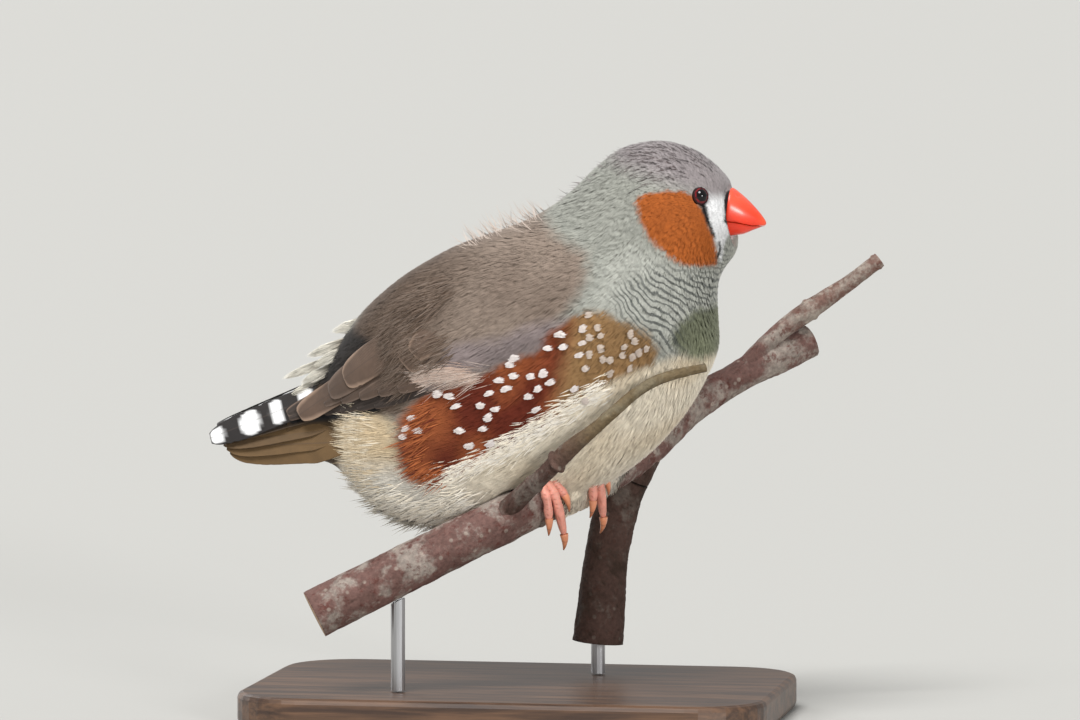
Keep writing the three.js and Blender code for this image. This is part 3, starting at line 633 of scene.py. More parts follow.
def group(name, inputs, outputs):
    """An empty node group with those sockets, and its two end nodes."""
    tree = bpy.data.node_groups.new(name, "ShaderNodeTree")
    for label, kind, value in inputs:
        socket = tree.interface.new_socket(label, in_out="INPUT", socket_type="NodeSocket" + kind)
        if value is not None:
            socket.default_value = value
    for label, kind in outputs:
        tree.interface.new_socket(label, in_out="OUTPUT", socket_type="NodeSocket" + kind)
    return tree, tree.nodes.new("NodeGroupInput").outputs, tree.nodes.new("NodeGroupOutput").inputs


print("five kinds of sum, and helpers for noise and stored values")

# %% [markdown]
# Effects that several finishes share are groups. The uneven tone is a noise pattern scaled to
# a small range round 1, so that nothing is one flat colour. The throat's bars are waves: how
# many turns lie between the middle of the throat and a place is a short formula, curved like
# the real bars. Noise bends, frays and breaks them. They read the place in space, so they are
# as sharp on the skin as on every feather.

# %% Shared effects
uneven_tone, given, result = group(
    "uneven tone",
    [("Place", "Vector", None), ("Per Metre", "Float", 400.0), ("Least", "Float", 0.85),
     ("Most", "Float", 1.15)],
    [("Tone", "Float")],
)
lumps = cloudy(uneven_tone, given["Place"], given["Per Metre"], 3.0, Roughness=0.6)
spread = node(uneven_tone, "MapRange", Value=lumps, From_Min=0.3, From_Max=0.7,
              To_Min=given["Least"], To_Max=given["Most"])
uneven_tone.links.new(spread.outputs[0], result["Tone"])

BAR_SPACING = 1.02
BAR_MIDDLE = (30.0, 76.0)
BAR_BEND, BAR_FRAY, BAR_BREAKS = 4.0, 0.5, 1.1
throat_bars, given, result = group(
    "throat bars",
    [("Place", "Vector", None), ("Shown", "Float", 0.0)],
    [("Dark", "Float")],
)
bars = throat_bars
level = node(bars, "SeparateXYZ", Vector=given["Place"])
forward = times(bars, minus(bars, level.outputs[0], BAR_MIDDLE[0] * MM), 1 / MM)
upward = times(bars, minus(bars, level.outputs[2], BAR_MIDDLE[1] * MM), 1 / MM)
turns = 0.0
for amount, first, second in ((0.608, forward, 1.0), (0.757, upward, 1.0), (-0.0124, forward, forward),
                              (0.0124, upward, upward), (-0.0064, forward, upward)):
    turns = plus(bars, turns, times(bars, times(bars, first, second), amount / BAR_SPACING))
turns = plus(bars, turns, times(bars, cloudy(bars, given["Place"], 170.0), BAR_BEND))
turns = plus(bars, turns, times(bars, cloudy(bars, given["Place"], 2600.0), BAR_FRAY))
wave = sine(bars, times(bars, turns, 2 * math.pi))
height = plus(bars, wave, times(bars, cloudy(bars, given["Place"], 520.0, 1.0), BAR_BREAKS))
dark = times(bars, remap(bars, height, 0.65, 1.25), given["Shown"])
bars.links.new(dark, result["Dark"])
print("groups:", [made.name for made in bpy.data.node_groups])

# %% [markdown]
# A finish is a material with one Principled shader. Bird feathers are matt, with a faint
# sheen from their barbs, so the plumage is rough with little gloss. Its colour is the tone
# stored at each vertex, made uneven and crossed by the bars.

# %% The plumage's finish
BAR_GREY = rgba(78, 82, 80)
BAR_STRENGTH = 0.78


def use(tree, shared, **sockets):
    """Places a shared group in a material."""
    return node(tree, "Group", {"node_tree": shared}, **sockets)


def finish(name, roughness, **constants):
    """A new material with a Principled shader, and its tree."""
    material = bpy.data.materials.new(name)
    material.use_nodes = True
    tree = material.node_tree
    shader = tree.nodes["Principled BSDF"]
    shader.inputs["Roughness"].default_value = roughness
    for label, value in constants.items():
        shader.inputs[label.replace("_", " ")].default_value = value
    place = node(tree, "TexCoord").outputs["Object"]
    return material, tree, shader, place


def tinted(tree, colour, place, per_metre, least, most):
    """A colour made lighter and darker in lumps."""
    tone = use(tree, uneven_tone, Place=place, Per_Metre=per_metre, Least=least, Most=most)
    return mix(tree, 1.0, colour, tone.outputs["Tone"], "MULTIPLY")


def painted(tree, shader, colour):
    """Gives a shader its colour."""
    tree.links.new(colour, shader.inputs["Base Color"])


def bump(tree, shader, height, strength, distance):
    """Gives a shader a fine relief, with its depth in millimetres."""
    made = node(tree, "Bump", Height=height, Strength=strength, Distance=distance * MM)
    tree.links.new(made.outputs["Normal"], shader.inputs["Normal"])


plumage, tree, shader, place = finish("plumage", 0.82, Sheen_Weight=0.18, Sheen_Roughness=0.5,
                                      Specular_IOR_Level=0.25)
dark = use(tree, throat_bars, Place=place, Shown=stored(tree, "barred")).outputs["Dark"]
colour = tinted(tree, stored(tree, "tint", "Color"), place, 900.0, 0.9, 1.08)
painted(tree, shader, mix(tree, times(tree, dark, BAR_STRENGTH), colour, BAR_GREY))
print("finish", plumage.name)

# %% [markdown]
# The perch, the twig and the toes are all round limbs: a line of points, each with a radius.
# They are needed before the feathers, because the belly lies on the branch and each feather
# has to stay clear of the wood and of the toes.

# %% The limbs
BRANCH = [
    (-33.2, -23.1, 20.2, 4.6), (-18.9, -18.6, 27.6, 4.5), (-5.0, -13.6, 34.6, 4.4), (3.4, -8.9, 38.8, 4.3),
    (9.0, -2.6, 41.2, 4.0), (14.0, 5.2, 43.6, 4.0), (20.0, 14.6, 47.6, 4.1), (27.5, 21.8, 54.6, 3.5),
    (35.7, 27.6, 60.0, 3.1), (42.8, 31.6, 63.8, 3.4), (48.3, 34.9, 66.5, 3.3),
]
STEM = [(20.0, 15.0, 47.0, 4.0), (15.8, 15.0, 38.0, 4.2), (13.4, 14.6, 27.0, 4.3), (12.0, 14.3, 12.0, 4.9)]
SHOOT = [
    (35.7, 27.6, 60.0, 2.0), (38.6, 28.5, 63.5, 1.9), (42.9, 30.0, 68.0, 1.8), (48.0, 31.8, 72.0, 2.0),
    (54.9, 34.1, 76.8, 1.6), (61.0, 36.1, 81.5, 1.5),
]
TWIG = [
    (-2.0, -12.5, 36.5, 2.2), (2.0, -14.5, 40.5, 1.9), (7.4, -18.0, 45.3, 1.6), (12.2, -20.6, 49.9, 1.7),
    (17.8, -21.2, 54.6, 1.2), (24.6, -19.8, 60.6, 1.1), (29.4, -17.8, 63.2, 1.0), (36.2, -14.6, 64.8, 0.9),
]
FEET = {
    # side: share of the branch's length, ankle
    "right": (0.325, (2.8, -4.6, 52.5)),
    "left": (0.435, (8.2, 4.0, 53.5)),
}


def limb_at(limb, share):
    """A limb's centres, upward and sideways directions and radii at shares of its length."""
    rows = np.array(limb, float)
    place = np.asarray(share, float) * (len(rows) - 1)
    here = read_rows(rows, place)
    ahead = unit((read_rows(rows, place + 0.05) - read_rows(rows, place - 0.05))[..., :3])
    up = np.where(np.abs(ahead[..., 2:]) > 0.9, [1.0, 0, 0], [0, 0, 1.0])
    up = unit(up - ahead * np.sum(up * ahead, axis=-1, keepdims=True))
    return here[..., :3], up, np.cross(ahead, up), here[..., 3]


branch_points = limb_at(BRANCH, np.linspace(0, 1, 200))[0]
BRANCH_LENGTH = np.linalg.norm(np.diff(branch_points, axis=0), axis=1).sum()
print("branch", round(BRANCH_LENGTH, 1), "mm long")

# %% [markdown]
# A perching toe lies round the wood like a cord. Its line starts on the top of the branch,
# turns round it, drifts a little along it and may run on straight at its end. The claw goes
# on from there and curls back towards the bark.

# %% Lines of the toes and claws
TOES = [
    # drift along the branch, degrees round it, straight reach, radius
    (-2.2, 96, 1.6, 0.92), (0.0, 100, 5.0, 1.02), (2.4, 80, 0.0, 0.90), (0.4, -92, 0.8, 1.00),
]
TOE_RADIUS, TOE_TAPER, TOE_STEPS = 0.95, 0.16, 9
CLAW_LENGTH, CLAW_CURVE, CLAW_ROOT_DEPTH = 3.2, 0.38, 0.3
CLAW_RADIUS, CLAW_TIP_RADIUS = 0.66, 0.12
GAP = 0.3  # between a toe and the bark


def toe_line(foot_share, toe):
    """A toe's centre line with its radii, wound round the branch from its top, and its claw's."""
    drift, wind, reach, radius = toe
    share = np.linspace(0, 1, TOE_STEPS)
    centre, up, side, wood = limb_at(BRANCH, foot_share + drift * share / BRANCH_LENGTH)
    turn = np.radians(wind * share)[:, None]
    out = up * np.cos(turn) + side * np.sin(turn)
    line = centre + out * (wood + radius + GAP)[:, None]
    onward = unit(line[-1] - line[-2])
    inward = limb_at(BRANCH, foot_share)[0] - line[-1]
    inward = unit(inward - onward * (inward @ onward))
    if reach > 0:
        line = np.vstack([line, line[-1] + onward * reach])
        share = np.append(share, 1.25)
    toe_rows = np.column_stack([line, radius * (1 - TOE_TAPER * share)])
    steps = np.linspace(0, 1, TOE_STEPS)[:, None]
    start = line[-1] - onward * CLAW_ROOT_DEPTH
    claw = start + onward * (CLAW_LENGTH * steps) + inward * (CLAW_LENGTH * CLAW_CURVE * steps**2)
    return toe_rows, np.column_stack([claw, CLAW_RADIUS * (1 - steps**1.3) + CLAW_TIP_RADIUS])


toe_lines = [toe_line(share, toe)[0] for share, _ in FEET.values() for toe in TOES]
print(len(toe_lines), "toes")

# %% [markdown]
# Soft feathers give way to wood and toes. A point that would lie inside a limb, or too near
# its surface, is moved straight out from the limb's nearest centre.

# %% Keeping clear of the limbs
def clear_of(points, limb, margin):
    """Moves the points that are inside a limb, or nearer than the margin, out to the margin."""
    centre, radius = limb[:, :3], limb[:, 3]
    reach = radius.max() + margin
    near = np.all((points > centre.min(axis=0) - reach) & (points < centre.max(axis=0) + reach), axis=-1)
    if not near.any():
        return points
    some = points[near]
    away = np.linalg.norm(some[:, None] - centre, axis=-1)
    closest = np.argmin(away - radius, axis=1)
    rows = np.arange(len(some))
    lack = np.maximum(radius[closest] + margin - away[rows, closest], 0)
    points = points.copy()
    points[near] = some + unit(some - centre[closest]) * lack[:, None]
    return points


def clear_of_all(points, limbs, margin):
    """The same for several limbs and for points in any array."""
    moved = points.reshape(-1, 3)
    for limb in limbs:
        moved = clear_of(moved, limb, margin)
    return moved.reshape(points.shape)


def sampled(limb, count):
    """A limb as many short steps."""
    centre, _, _, radius = limb_at(limb, np.linspace(0, 1, count))
    return np.column_stack([centre, radius])


wood_lines = [sampled(BRANCH, 90), sampled(STEM, 40), sampled(TWIG, 70)]
print("limbs to keep clear of:", len(wood_lines) + len(toe_lines))

# %% [markdown]
# Under the feathers lies one skin for head, neck and body, so that no seam shows. It starts
# as a sphere whose rings become the sections. It lies deeper than the solids by the depth of
# the coat, except over the folded wings, whose small feathers stand on a low pad. Its map
# unrolls it by place and angle, and each feather's patch lies at its root on the same map.

# %% The skin
WING_PAD = 1.9
FACE_SINK = 0.5
BILL_BASE = (38.4, 0.0, 91.7)
SKIN_RINGS, SKIN_SIDES = 170, 120
CAP_SHARE = 0.03  # the share of the rings that closes each end
SKIN_TO_WOOD = 0.35
# Painted shade: the skin is painted darker than the coat, as the shade deep between the feathers.
SKIN_SHADE = 0.8  # the skin is darker than the coat, as the depth between feathers is
WING_COVER = [
    (17.0, 82.5), (9.0, 88.0), (-1.0, 86.5), (-11.0, 83.0), (-19.5, 78.0), (-22.5, 70.0), (-19.5, 63.5),
    (-14.0, 61.0), (-4.7, 64.4), (3.6, 67.6), (12.4, 72.8),
]


def coat_depth(place):
    """The coat is thinnest round the bill and full from the neck on."""
    return np.interp(place, (0, 2, 5, 9), (0.16, 0.26, 0.42, 0.6))


def skin_height(points, place):
    """How far the skin lies above the body's sections: below them, and above on the wings."""
    pad = WING_PAD * inside(points[..., 0], points[..., 2], WING_COVER, 3.0)
    at_bill = FACE_SINK * (1 - smooth(np.linalg.norm(points - BILL_BASE, axis=-1), 4.4, 7.0))
    return pad - coat_depth(place) - at_bill


def bake_place(place, angle):
    """The place on the unrolled skin, for the map."""
    return np.stack([0.5 + angle / (2 * math.pi), place / (len(SECTIONS) - 1)], axis=-1)


def in_material(name, mesh, material, slot, *replaced):
    """Makes the mesh an object of the part, with its finish and the nodes it stands for."""
    piece = bpy.data.objects.new(name, mesh)
    scene.collection.objects.link(piece)
    mesh.materials.append(material)
    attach(piece, "root")
    if replaced:
        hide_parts(*replaced)
    return piece


shape = bmesh.new()
bmesh.ops.create_uvsphere(shape, u_segments=SKIN_SIDES, v_segments=SKIN_RINGS, radius=1)
skin_mesh, ball = new_mesh("skin", shape)
ring = np.arccos(np.clip(ball[:, 2], -1, 1)) / math.pi
skin_angle = np.arctan2(ball[:, 1], ball[:, 0])
skin_place = BODY_END * np.clip((ring - CAP_SHARE) / (1 - 2 * CAP_SHARE), 0, 1)
end = np.clip(np.minimum(ring, 1 - ring) / CAP_SHARE, 0, 1)
base, outward, _, _ = body_frame(skin_place, skin_angle)
skin_points = section_point(SECTIONS, skin_place, skin_angle, np.sqrt(1 - (1 - end) ** 2))
skin_points += outward * (skin_height(base, skin_place) * end)[:, None]
skin_points = clear_of_all(skin_points, wood_lines, SKIN_TO_WOOD)
move_to(skin_mesh, skin_points)
skin_tint, skin_bars = markings(skin_points, np.zeros((1, 3)))
# The skin's tint is painted darker, as painted shade under the coat.
store(skin_mesh, "tint", skin_tint * SKIN_SHADE)
store(skin_mesh, "barred", skin_bars)
print("skin of", len(skin_mesh.polygons), "faces")

# %% [markdown]
# The map is a sheet with the angle across and the place along it. Where the sheet's two edges
# meet on the bird, a face would stretch back over the whole sheet. The corners of such a face
# that lie at the low edge are moved past the high one, so that each face stays small.

# %% The skin's map
corners = corner_vertices(skin_mesh)
flat = bake_place(skin_place, skin_angle)[corners]
face_sides = [face.loop_total for face in skin_mesh.polygons]
face_of = np.repeat(np.arange(len(face_sides)), face_sides)
farthest = np.zeros(len(face_sides))
np.maximum.at(farthest, face_of, flat[:, 0])
flat[:, 0] += farthest[face_of] - flat[:, 0] > 0.5
add_map(skin_mesh, "OFBake", flat)
outwards(skin_mesh)
in_material("skin", skin_mesh, plumage, "feathers_grey", "head", "neck", "torso")
print("map of", len(flat), "corners")

# %% [markdown]
# A body feather this small is seen as a soft tuft: a fan of fine blades from one root, lying
# back over the next ones. Each blade is a thin closed prism with three sides, a bend in its
# middle and a pointed tip, ten triangles in all, so that many thousands stay light. Tufts are
# made as arrays, since no operator would place so many in the time. Each vertex is traced
# over the body's own surface, so blades follow it and never stand off where it curves away.

# %% Blades and tufts
BLADE_FACES = [(0, 1, 4, 3), (1, 2, 5, 4), (2, 0, 3, 5), (3, 4, 6), (4, 5, 6), (5, 3, 6), (0, 2, 1)]
BLADE_TRIANGLES = 10
POINT_OF = [0, 0, 0, 1, 1, 1, 2]  # which point of the line each of the seven vertices is at
BLADE_MAP = [(0, 0), (1, 0), (0.5, 0), (0, 0.5), (1, 0.5), (0.5, 0.5), (0.5, 1)]
BAKE_PATCH = 0.003
BLADE_THICKNESS = 0.35
NORMAL_SOFTNESS = 1.5  # how much more a blade is lit as part of the coat than for itself


def blade_rings(line, outward, width):
    """The seven vertices of each blade round its line of three points, and their directions."""
    root, bend, tip = line[:, 0], line[:, 1], line[:, 2]
    ahead = unit(np.stack([bend - root, tip - root, tip - bend], axis=1))
    side = unit(np.cross(outward, ahead))
    up = np.cross(ahead, side)
    half, thick = side * (width / 2)[:, :, None], up * (width * BLADE_THICKNESS)[:, :, None]
    rings = [line[:, k] + move for k in (0, 1) for move in (-half[:, k], half[:, k], thick[:, k])]
    turned = [unit(outward[:, k] * NORMAL_SOFTNESS + move) for k in (0, 1)
              for move in (-side[:, k] * 0.4, side[:, k] * 0.4, up[:, k] * 0.3)]
    return np.stack([*rings, line[:, 2]], axis=1), np.stack([*turned, outward[:, 2]], axis=1)


def blades_object(name, line, outward, width, tint, barred, home, slot):
    """One mesh of many blades. Home is each blade's patch on the unrolled skin."""
    count = len(line)
    points, turned = blade_rings(line, outward, width)
    corner = np.concatenate([np.array(face) for face in BLADE_FACES])
    mesh = bpy.data.meshes.new(name)
    mesh.vertices.add(points.shape[0] * points.shape[1])
    mesh.loops.add(count * len(corner))
    mesh.polygons.add(count * len(BLADE_FACES))
    move_to(mesh, points)
    blade = np.arange(count, dtype=np.int32)[:, None]
    mesh.loops.foreach_set("vertex_index", (blade * len(POINT_OF) + corner).astype(np.int32).ravel())
    starts = np.cumsum([0] + [len(face) for face in BLADE_FACES[:-1]])
    mesh.polygons.foreach_set("loop_start", (blade * len(corner) + starts).astype(np.int32).ravel())
    mesh.update(calc_edges=True)
    mesh.shade_smooth()
    store(mesh, "tint", tint[:, POINT_OF].reshape(-1, 3))
    store(mesh, "barred", barred[:, POINT_OF].ravel())
    free = mesh.attributes.new("custom_normal", "FLOAT_VECTOR", "POINT")
    free.data.foreach_set("vector", turned.astype(np.float32).ravel())
    patch = home[:, None] + BAKE_PATCH * (np.array(BLADE_MAP) - 0.5)
    add_map(mesh, "OFBake", patch[:, corner])
    in_material(name, mesh, plumage, slot)
    print(name, count, "blades,", count * BLADE_TRIANGLES, "triangles")


print("a blade has", len(POINT_OF), "vertices")

# %% [markdown]
# Feathers grow at even distances, never in rows. So many more roots are tried than the coat
# needs, in random places, and each is kept only if no kept one is nearer than the gap. A grid
# of cells as wide as the gap keeps this quick, as only the next cells have to be searched.

# %% Roots
AREA_TRIALS = 4000
TRIES_PER_ROOT = 7
NEXT_CELLS = list(itertools.product((-1, 0, 1), repeat=3))


def scatter(places, degrees, gap):
    """Roots spread evenly over part of the body, none nearer to another than the gap."""
    low, high = np.radians(degrees)
    trial = rng.uniform([places[0], low], [places[1], high], (AREA_TRIALS, 2))
    _, _, along, around = body_frame(trial[:, 0], trial[:, 1])
    patch = np.linalg.norm(np.cross(along, around), axis=-1)
    area = 2 * patch.mean() * (places[1] - places[0]) * (high - low)
    count = int(TRIES_PER_ROOT * area / gap**2)
    place, angle = rng.uniform(*places, count), rng.uniform(low, high, count) * rng.choice((-1, 1), count)
    point, _, along, around = body_frame(place, angle)
    here = np.linalg.norm(np.cross(along, around), axis=-1)
    keep = rng.uniform(0, patch.max(), count) < here
    place, angle, point = place[keep], angle[keep], point[keep]
    taken, kept = {}, []
    cell = np.floor(point / gap).astype(int)
    for index, (p, (i, j, k)) in enumerate(zip(point.tolist(), cell.tolist())):
        others = (q for di, dj, dk in NEXT_CELLS for q in taken.get((i + di, j + dj, k + dk), ()))
        if all((p[0] - q[0]) ** 2 + (p[1] - q[1]) ** 2 + (p[2] - q[2]) ** 2 > gap**2 for q in others):
            taken.setdefault((i, j, k), []).append(p)
            kept.append(index)
    return place[kept], angle[kept]


print("each root is set against those in", len(NEXT_CELLS), "cells")

# %% [markdown]
# A tuft is grown from a place and an angle. Its blades fan out, each of its own length, and
# their bends and tips are found by walking over the body along and round it. The coat's depth
# there and a small rise lift them, and they are pushed clear of the wood and the toes. Every
# point then looks up its colour in the drawing. A tuft is painted a little darker at its root
# and a little lighter at its tips: partly the grey down at a feather's base, partly painted
# shade in the depths of the coat and painted light on the tips.

# %% Growing tufts
TUFT_STEPS = [
    # share of the length, share of the fan's width, height in depths of the coat
    (0.0, 0.4, -0.75), (0.5, 0.85, 0.35), (1.0, 1.0, 1.0),
]
LEAN, FAN_JITTER, LOFT_JITTER, TONE_JITTER = 0.10, 0.12, 0.08, 0.035
# Tone at a blade's root, bend and tip: partly the grey down at a feather's base, partly painted shade in the
# coat's depths and painted light on the tips.
TUFT_DOWN_AND_SHADING = [0.9, 0.94, 1.03]
TUFT_TAPER = [1.0, 0.85, 0.0]
TO_WOOD, TO_TOES = 0.3, 0.15


def grow(place, angle, length, spread, blades, width, rise):
    """Tufts as arrays of blades: lines, outward directions, widths, tints, bars and map homes."""
    tufts = len(place)
    many = (tufts, blades)
    length, spread, rise = (np.broadcast_to(v, tufts)[:, None] for v in (length, spread, rise))
    lean = rng.normal(0, LEAN, (tufts, 1))
    fan = np.linspace(-1, 1, blades)[None] + rng.normal(0, FAN_JITTER, many)
    reach = length * (1 - 0.22 * fan**2) * rng.uniform(0.82, 1.08, many)
    _, _, along, around = body_frame(place, angle)
    per_place = np.linalg.norm(along, axis=-1)[:, None]
    per_angle = np.linalg.norm(around, axis=-1)[:, None]
    lines, outs = [], []
    for share, fan_share, level in TUFT_STEPS:
        ahead = reach * share
        across = fan * spread * fan_share / 2 + lean * ahead
        at, turn = place[:, None] + ahead / per_place, angle[:, None] + across / per_angle
        point, outward, _, _ = body_frame(at, turn)
        loft = coat_depth(at) * (level + rng.uniform(-LOFT_JITTER, LOFT_JITTER, many))
        loft += rise * share**2 * rng.uniform(0.2, 1.0, many)
        lines.append(point + outward * (skin_height(point, at) + loft)[..., None])
        outs.append(outward)
    line = np.stack(lines, axis=2).reshape(-1, 3, 3)
    outward = np.stack(outs, axis=2).reshape(-1, 3, 3)
    line = clear_of_all(clear_of_all(line, wood_lines, TO_WOOD), toe_lines, TO_TOES)
    mingling = np.interp(place, (0, 2.5, 7), (0.05, 0.10, 0.22))[:, None, None, None]
    waver = np.repeat(rng.normal(0, 1, (tufts, 1, 1, 3)) * mingling, blades, axis=1).reshape(-1, 1, 3)
    tint, barred = markings(line, waver)
    tone = np.repeat(rng.normal(1, TONE_JITTER, (tufts, 1)), blades, axis=1)
    tone = tone * rng.normal(1, TONE_JITTER, many)
    # Painted shade at the roots and painted light at the tips, together with the grey down at the base.
    tint = np.clip(tint * tone.reshape(-1, 1, 1) * np.array(TUFT_DOWN_AND_SHADING)[None, :, None], 0, 1)
    widths = np.broadcast_to(np.array(TUFT_TAPER) * width, (len(line), 3))
    widths = widths * rng.uniform(0.8, 1.2, (len(line), 1))
    home = np.repeat(bake_place(place, angle)[:, None], blades, axis=1).reshape(-1, 2)
    return line, outward, widths, tint, barred, home


def coat_length(place, angle):
    """Feathers are shortest at the bill and longest underneath, towards the vent."""
    places = (0, 2, 4, 6.5, 9, 12, 15, 20)
    back = np.interp(place, places, (0.7, 1.1, 1.6, 2.1, 2.8, 3.4, 3.8, 4.2))
    under = np.interp(place, places, (0.7, 1.0, 1.4, 1.9, 2.6, 4.0, 5.2, 5.6))
    return back + (under - back) * (1 - np.cos(angle)) / 2


print("the longest body feathers are", coat_length(20, math.pi), "mm")

# %% [markdown]
# The coat is grown tract by tract, as feathers grow on a bird. Near the bill and the eyes
# the tufts are tiny and close. They get longer and looser over the neck and the back and
# loosest at the vent, where the down shows. Tufts that would cover an eye are left out.

# %% The coat
EYE_AT, EYE_DEPTH = (34.4, 95.1), 1.0
EYE_CLEARING = 1.5
eye_place, eye_angle = (float(v) for v in from_side(*EYE_AT))
eye_skin, eye_out, _, _ = body_frame(np.full(2, eye_place), np.array([-eye_angle, eye_angle]))
eye_centre = eye_skin - eye_out * EYE_DEPTH

TRACTS = [
    # name, places, degrees from the back, gap between roots, blades, blade width, rise, slot
    ("coat_face", (0.1, 3.4), (0, 180), 0.36, 7, 0.16, 0.02, "feathers_grey"),
    ("coat_crown", (3.4, 6.6), (0, 112), 0.50, 9, 0.20, 0.03, "feathers_grey"),
    ("coat_throat", (3.4, 9.4), (112, 180), 0.58, 9, 0.22, 0.05, "feathers_grey"),
    ("coat_nape", (6.6, 9.4), (0, 112), 0.62, 9, 0.23, 0.04, "feathers_grey"),
    ("coat_shoulders", (9.4, 12.4), (0, 76), 0.68, 10, 0.22, 0.08, "feathers_brown"),
    ("coat_back", (12.4, 15.6), (0, 76), 0.68, 10, 0.22, 0.08, "feathers_brown"),
    ("coat_flanks", (9.4, 15.6), (76, 132), 0.84, 10, 0.25, 0.25, "feathers_cream"),
    ("coat_belly", (9.4, 15.6), (132, 180), 0.76, 10, 0.25, 0.25, "feathers_cream"),
    ("coat_vent", (15.6, 17.2), (55, 180), 0.82, 10, 0.25, 0.90, "feathers_cream"),
    ("coat_rump", (15.6, 18.8), (0, 60), 0.70, 9, 0.22, 0.15, "feathers_black"),
]
coat_count = 0
for name, places, degrees, gap, blades, width, rise, slot in TRACTS:
    place, angle = scatter(places, degrees, gap)
    length = coat_length(place, angle) * rng.uniform(0.85, 1.15, len(place))
    grown = grow(place, angle, length, 0.35 + 0.32 * length, blades, width, rise)
    clear = np.linalg.norm(grown[0][:, :, None] - eye_skin, axis=-1).min(axis=(1, 2)) > EYE_CLEARING
    coat_count += int(clear.sum())
    blades_object(name, *(part[clear] for part in grown), slot=slot)
print("coat of", coat_count, "blades")

# %% [markdown]
# The crown's feathers have dark centres, which show as short dark streaks from the bill over
# the forehead to the top of the head. They are longer tufts of few, narrow blades, laid over
# the coat along its lie, and they thin out towards the nape and the eye.

# %% Crown streaks
STREAK_GAP = 0.85
STREAK_BLADES = 6
STREAK_DARKNESS = 0.85
place, angle = scatter((1.2, 6.2), (0, 62), STREAK_GAP)
streak_at = body_frame(place, angle)[0]
chance = smooth(streak_at[:, 2], 96.0, 100.5) * (1 - 0.75 * smooth(-streak_at[:, 0], -27, -17))
kept = rng.random(len(place)) < 0.9 * chance
place, angle = place[kept], angle[kept]
length = rng.uniform(2.2, 4.0, len(place))
line, outward, widths, tint, barred, home = grow(place, angle, length, 0.3, STREAK_BLADES, 0.16, 0.2)
strength = np.repeat(rng.uniform(0.2, 1.2, len(place)), STREAK_BLADES)[:, None, None]
tint = tint * (1 - STREAK_DARKNESS) + CROWN_DARK * strength * STREAK_DARKNESS
blades_object("crown_streaks", line, outward, widths, tint, barred, home, "feathers_grey")

# %% [markdown]
# Loose feathers break the smooth outline, and they make the bird look alive. Each is one long
# blade that starts near a line on the side view and runs towards the tail, turned up or down
# by some degrees. Where it runs past the body's edge it goes on beside it as a free hair, a
# little to one side, so that the hairs of the two sides don't meet in the middle plane.

# %% Strands
STRAND_STEPS = [
    # share of the length, height in depths of the coat
    (0.0, -0.3), (0.55, 0.8), (1.0, 1.0),
]
# Painted shade: a strand is painted darker at its root, where it lies deep in the coat.
STRAND_SHADE = [0.8, 0.97, 1.0]
STRAND_TAPER = [0.9, 0.8, 0.0]
LOWEST_LIGHT = [-1, -1, -0.15]


def near_side(x, z, side):
    """The body's place and angle under points of the side view, on one side of the bird."""
    place, angle = from_side(x, z)
    return place, angle * side


def strands(name, slot, side_line, count, scatter_mm, length, direction, stand, width, tints, unruly=9):
    """Long single blades rooted near a line of the side view, on both sides of the bird."""
    line_points = np.array(side_line, float)
    parts = []
    for side in (-1.0, 1.0):
        share = rng.uniform(0, len(line_points) - 1.001, count)
        root = read_rows(line_points, share) + rng.normal(0, scatter_mm, (count, 2))
        place, angle = near_side(root[:, 0], root[:, 1], side)
        reach = rng.uniform(*length, count)
        turn = np.radians(rng.normal(direction, unruly, count))
        lines, outs = [], []
        rise = rng.uniform(*stand, count)
        aside = side * rng.uniform(0.1, 3.2, count)
        for part, level in STRAND_STEPS:
            at = root + part * reach[:, None] * np.column_stack([-np.cos(turn), np.sin(turn)])
            here, round_to = near_side(at[:, 0], at[:, 1], side)
            point, out, _, _ = body_frame(here, round_to)
            beyond = (at - point[:, [0, 2]]) * (0.3 + 0.4 * part)
            past = smooth(np.hypot(*beyond.T), 0.0, 0.4)
            point = point + np.column_stack([beyond[:, 0], aside * past, beyond[:, 1]])
            loft = skin_height(point, here) + coat_depth(here) * level + rise * part**1.5
            lines.append(point + out * loft[:, None])
            outs.append(unit(np.maximum(out, LOWEST_LIGHT)))
        line = clear_of_all(np.stack(lines, axis=1), wood_lines, TO_WOOD)
        blend = rng.uniform(0, 1, (count, 1))
        tint = tints[0] * blend + tints[1] * (1 - blend)
        # The strand's painted shade, darkest at its root.
        tint = tint[:, None] * np.array(STRAND_SHADE)[None, :, None]
        widths = rng.uniform(0.75, 1.25, (count, 1)) * np.array(STRAND_TAPER) * width
        home = bake_place(place, angle)
        parts.append((line, np.stack(outs, axis=1), widths, tint, np.zeros((count, 3)), home))
    blades_object(name, *(np.concatenate(values) for values in zip(*parts)), slot)


print("a strand has", len(STRAND_STEPS), "points")

# %% [markdown]
# There are nine kinds. A ruffled pale tuft stands on the back, and long silky hairs hang over
# the wing's lower edge. White wisps run along the edge of flank and belly, and chestnut ends
# reach over the vent. Loose down fills the space under the body and the root of the tail.
# Brown tufts at the shoulder hide the roots of the wing's feathers, and a few wisps stand up
# on the crown.

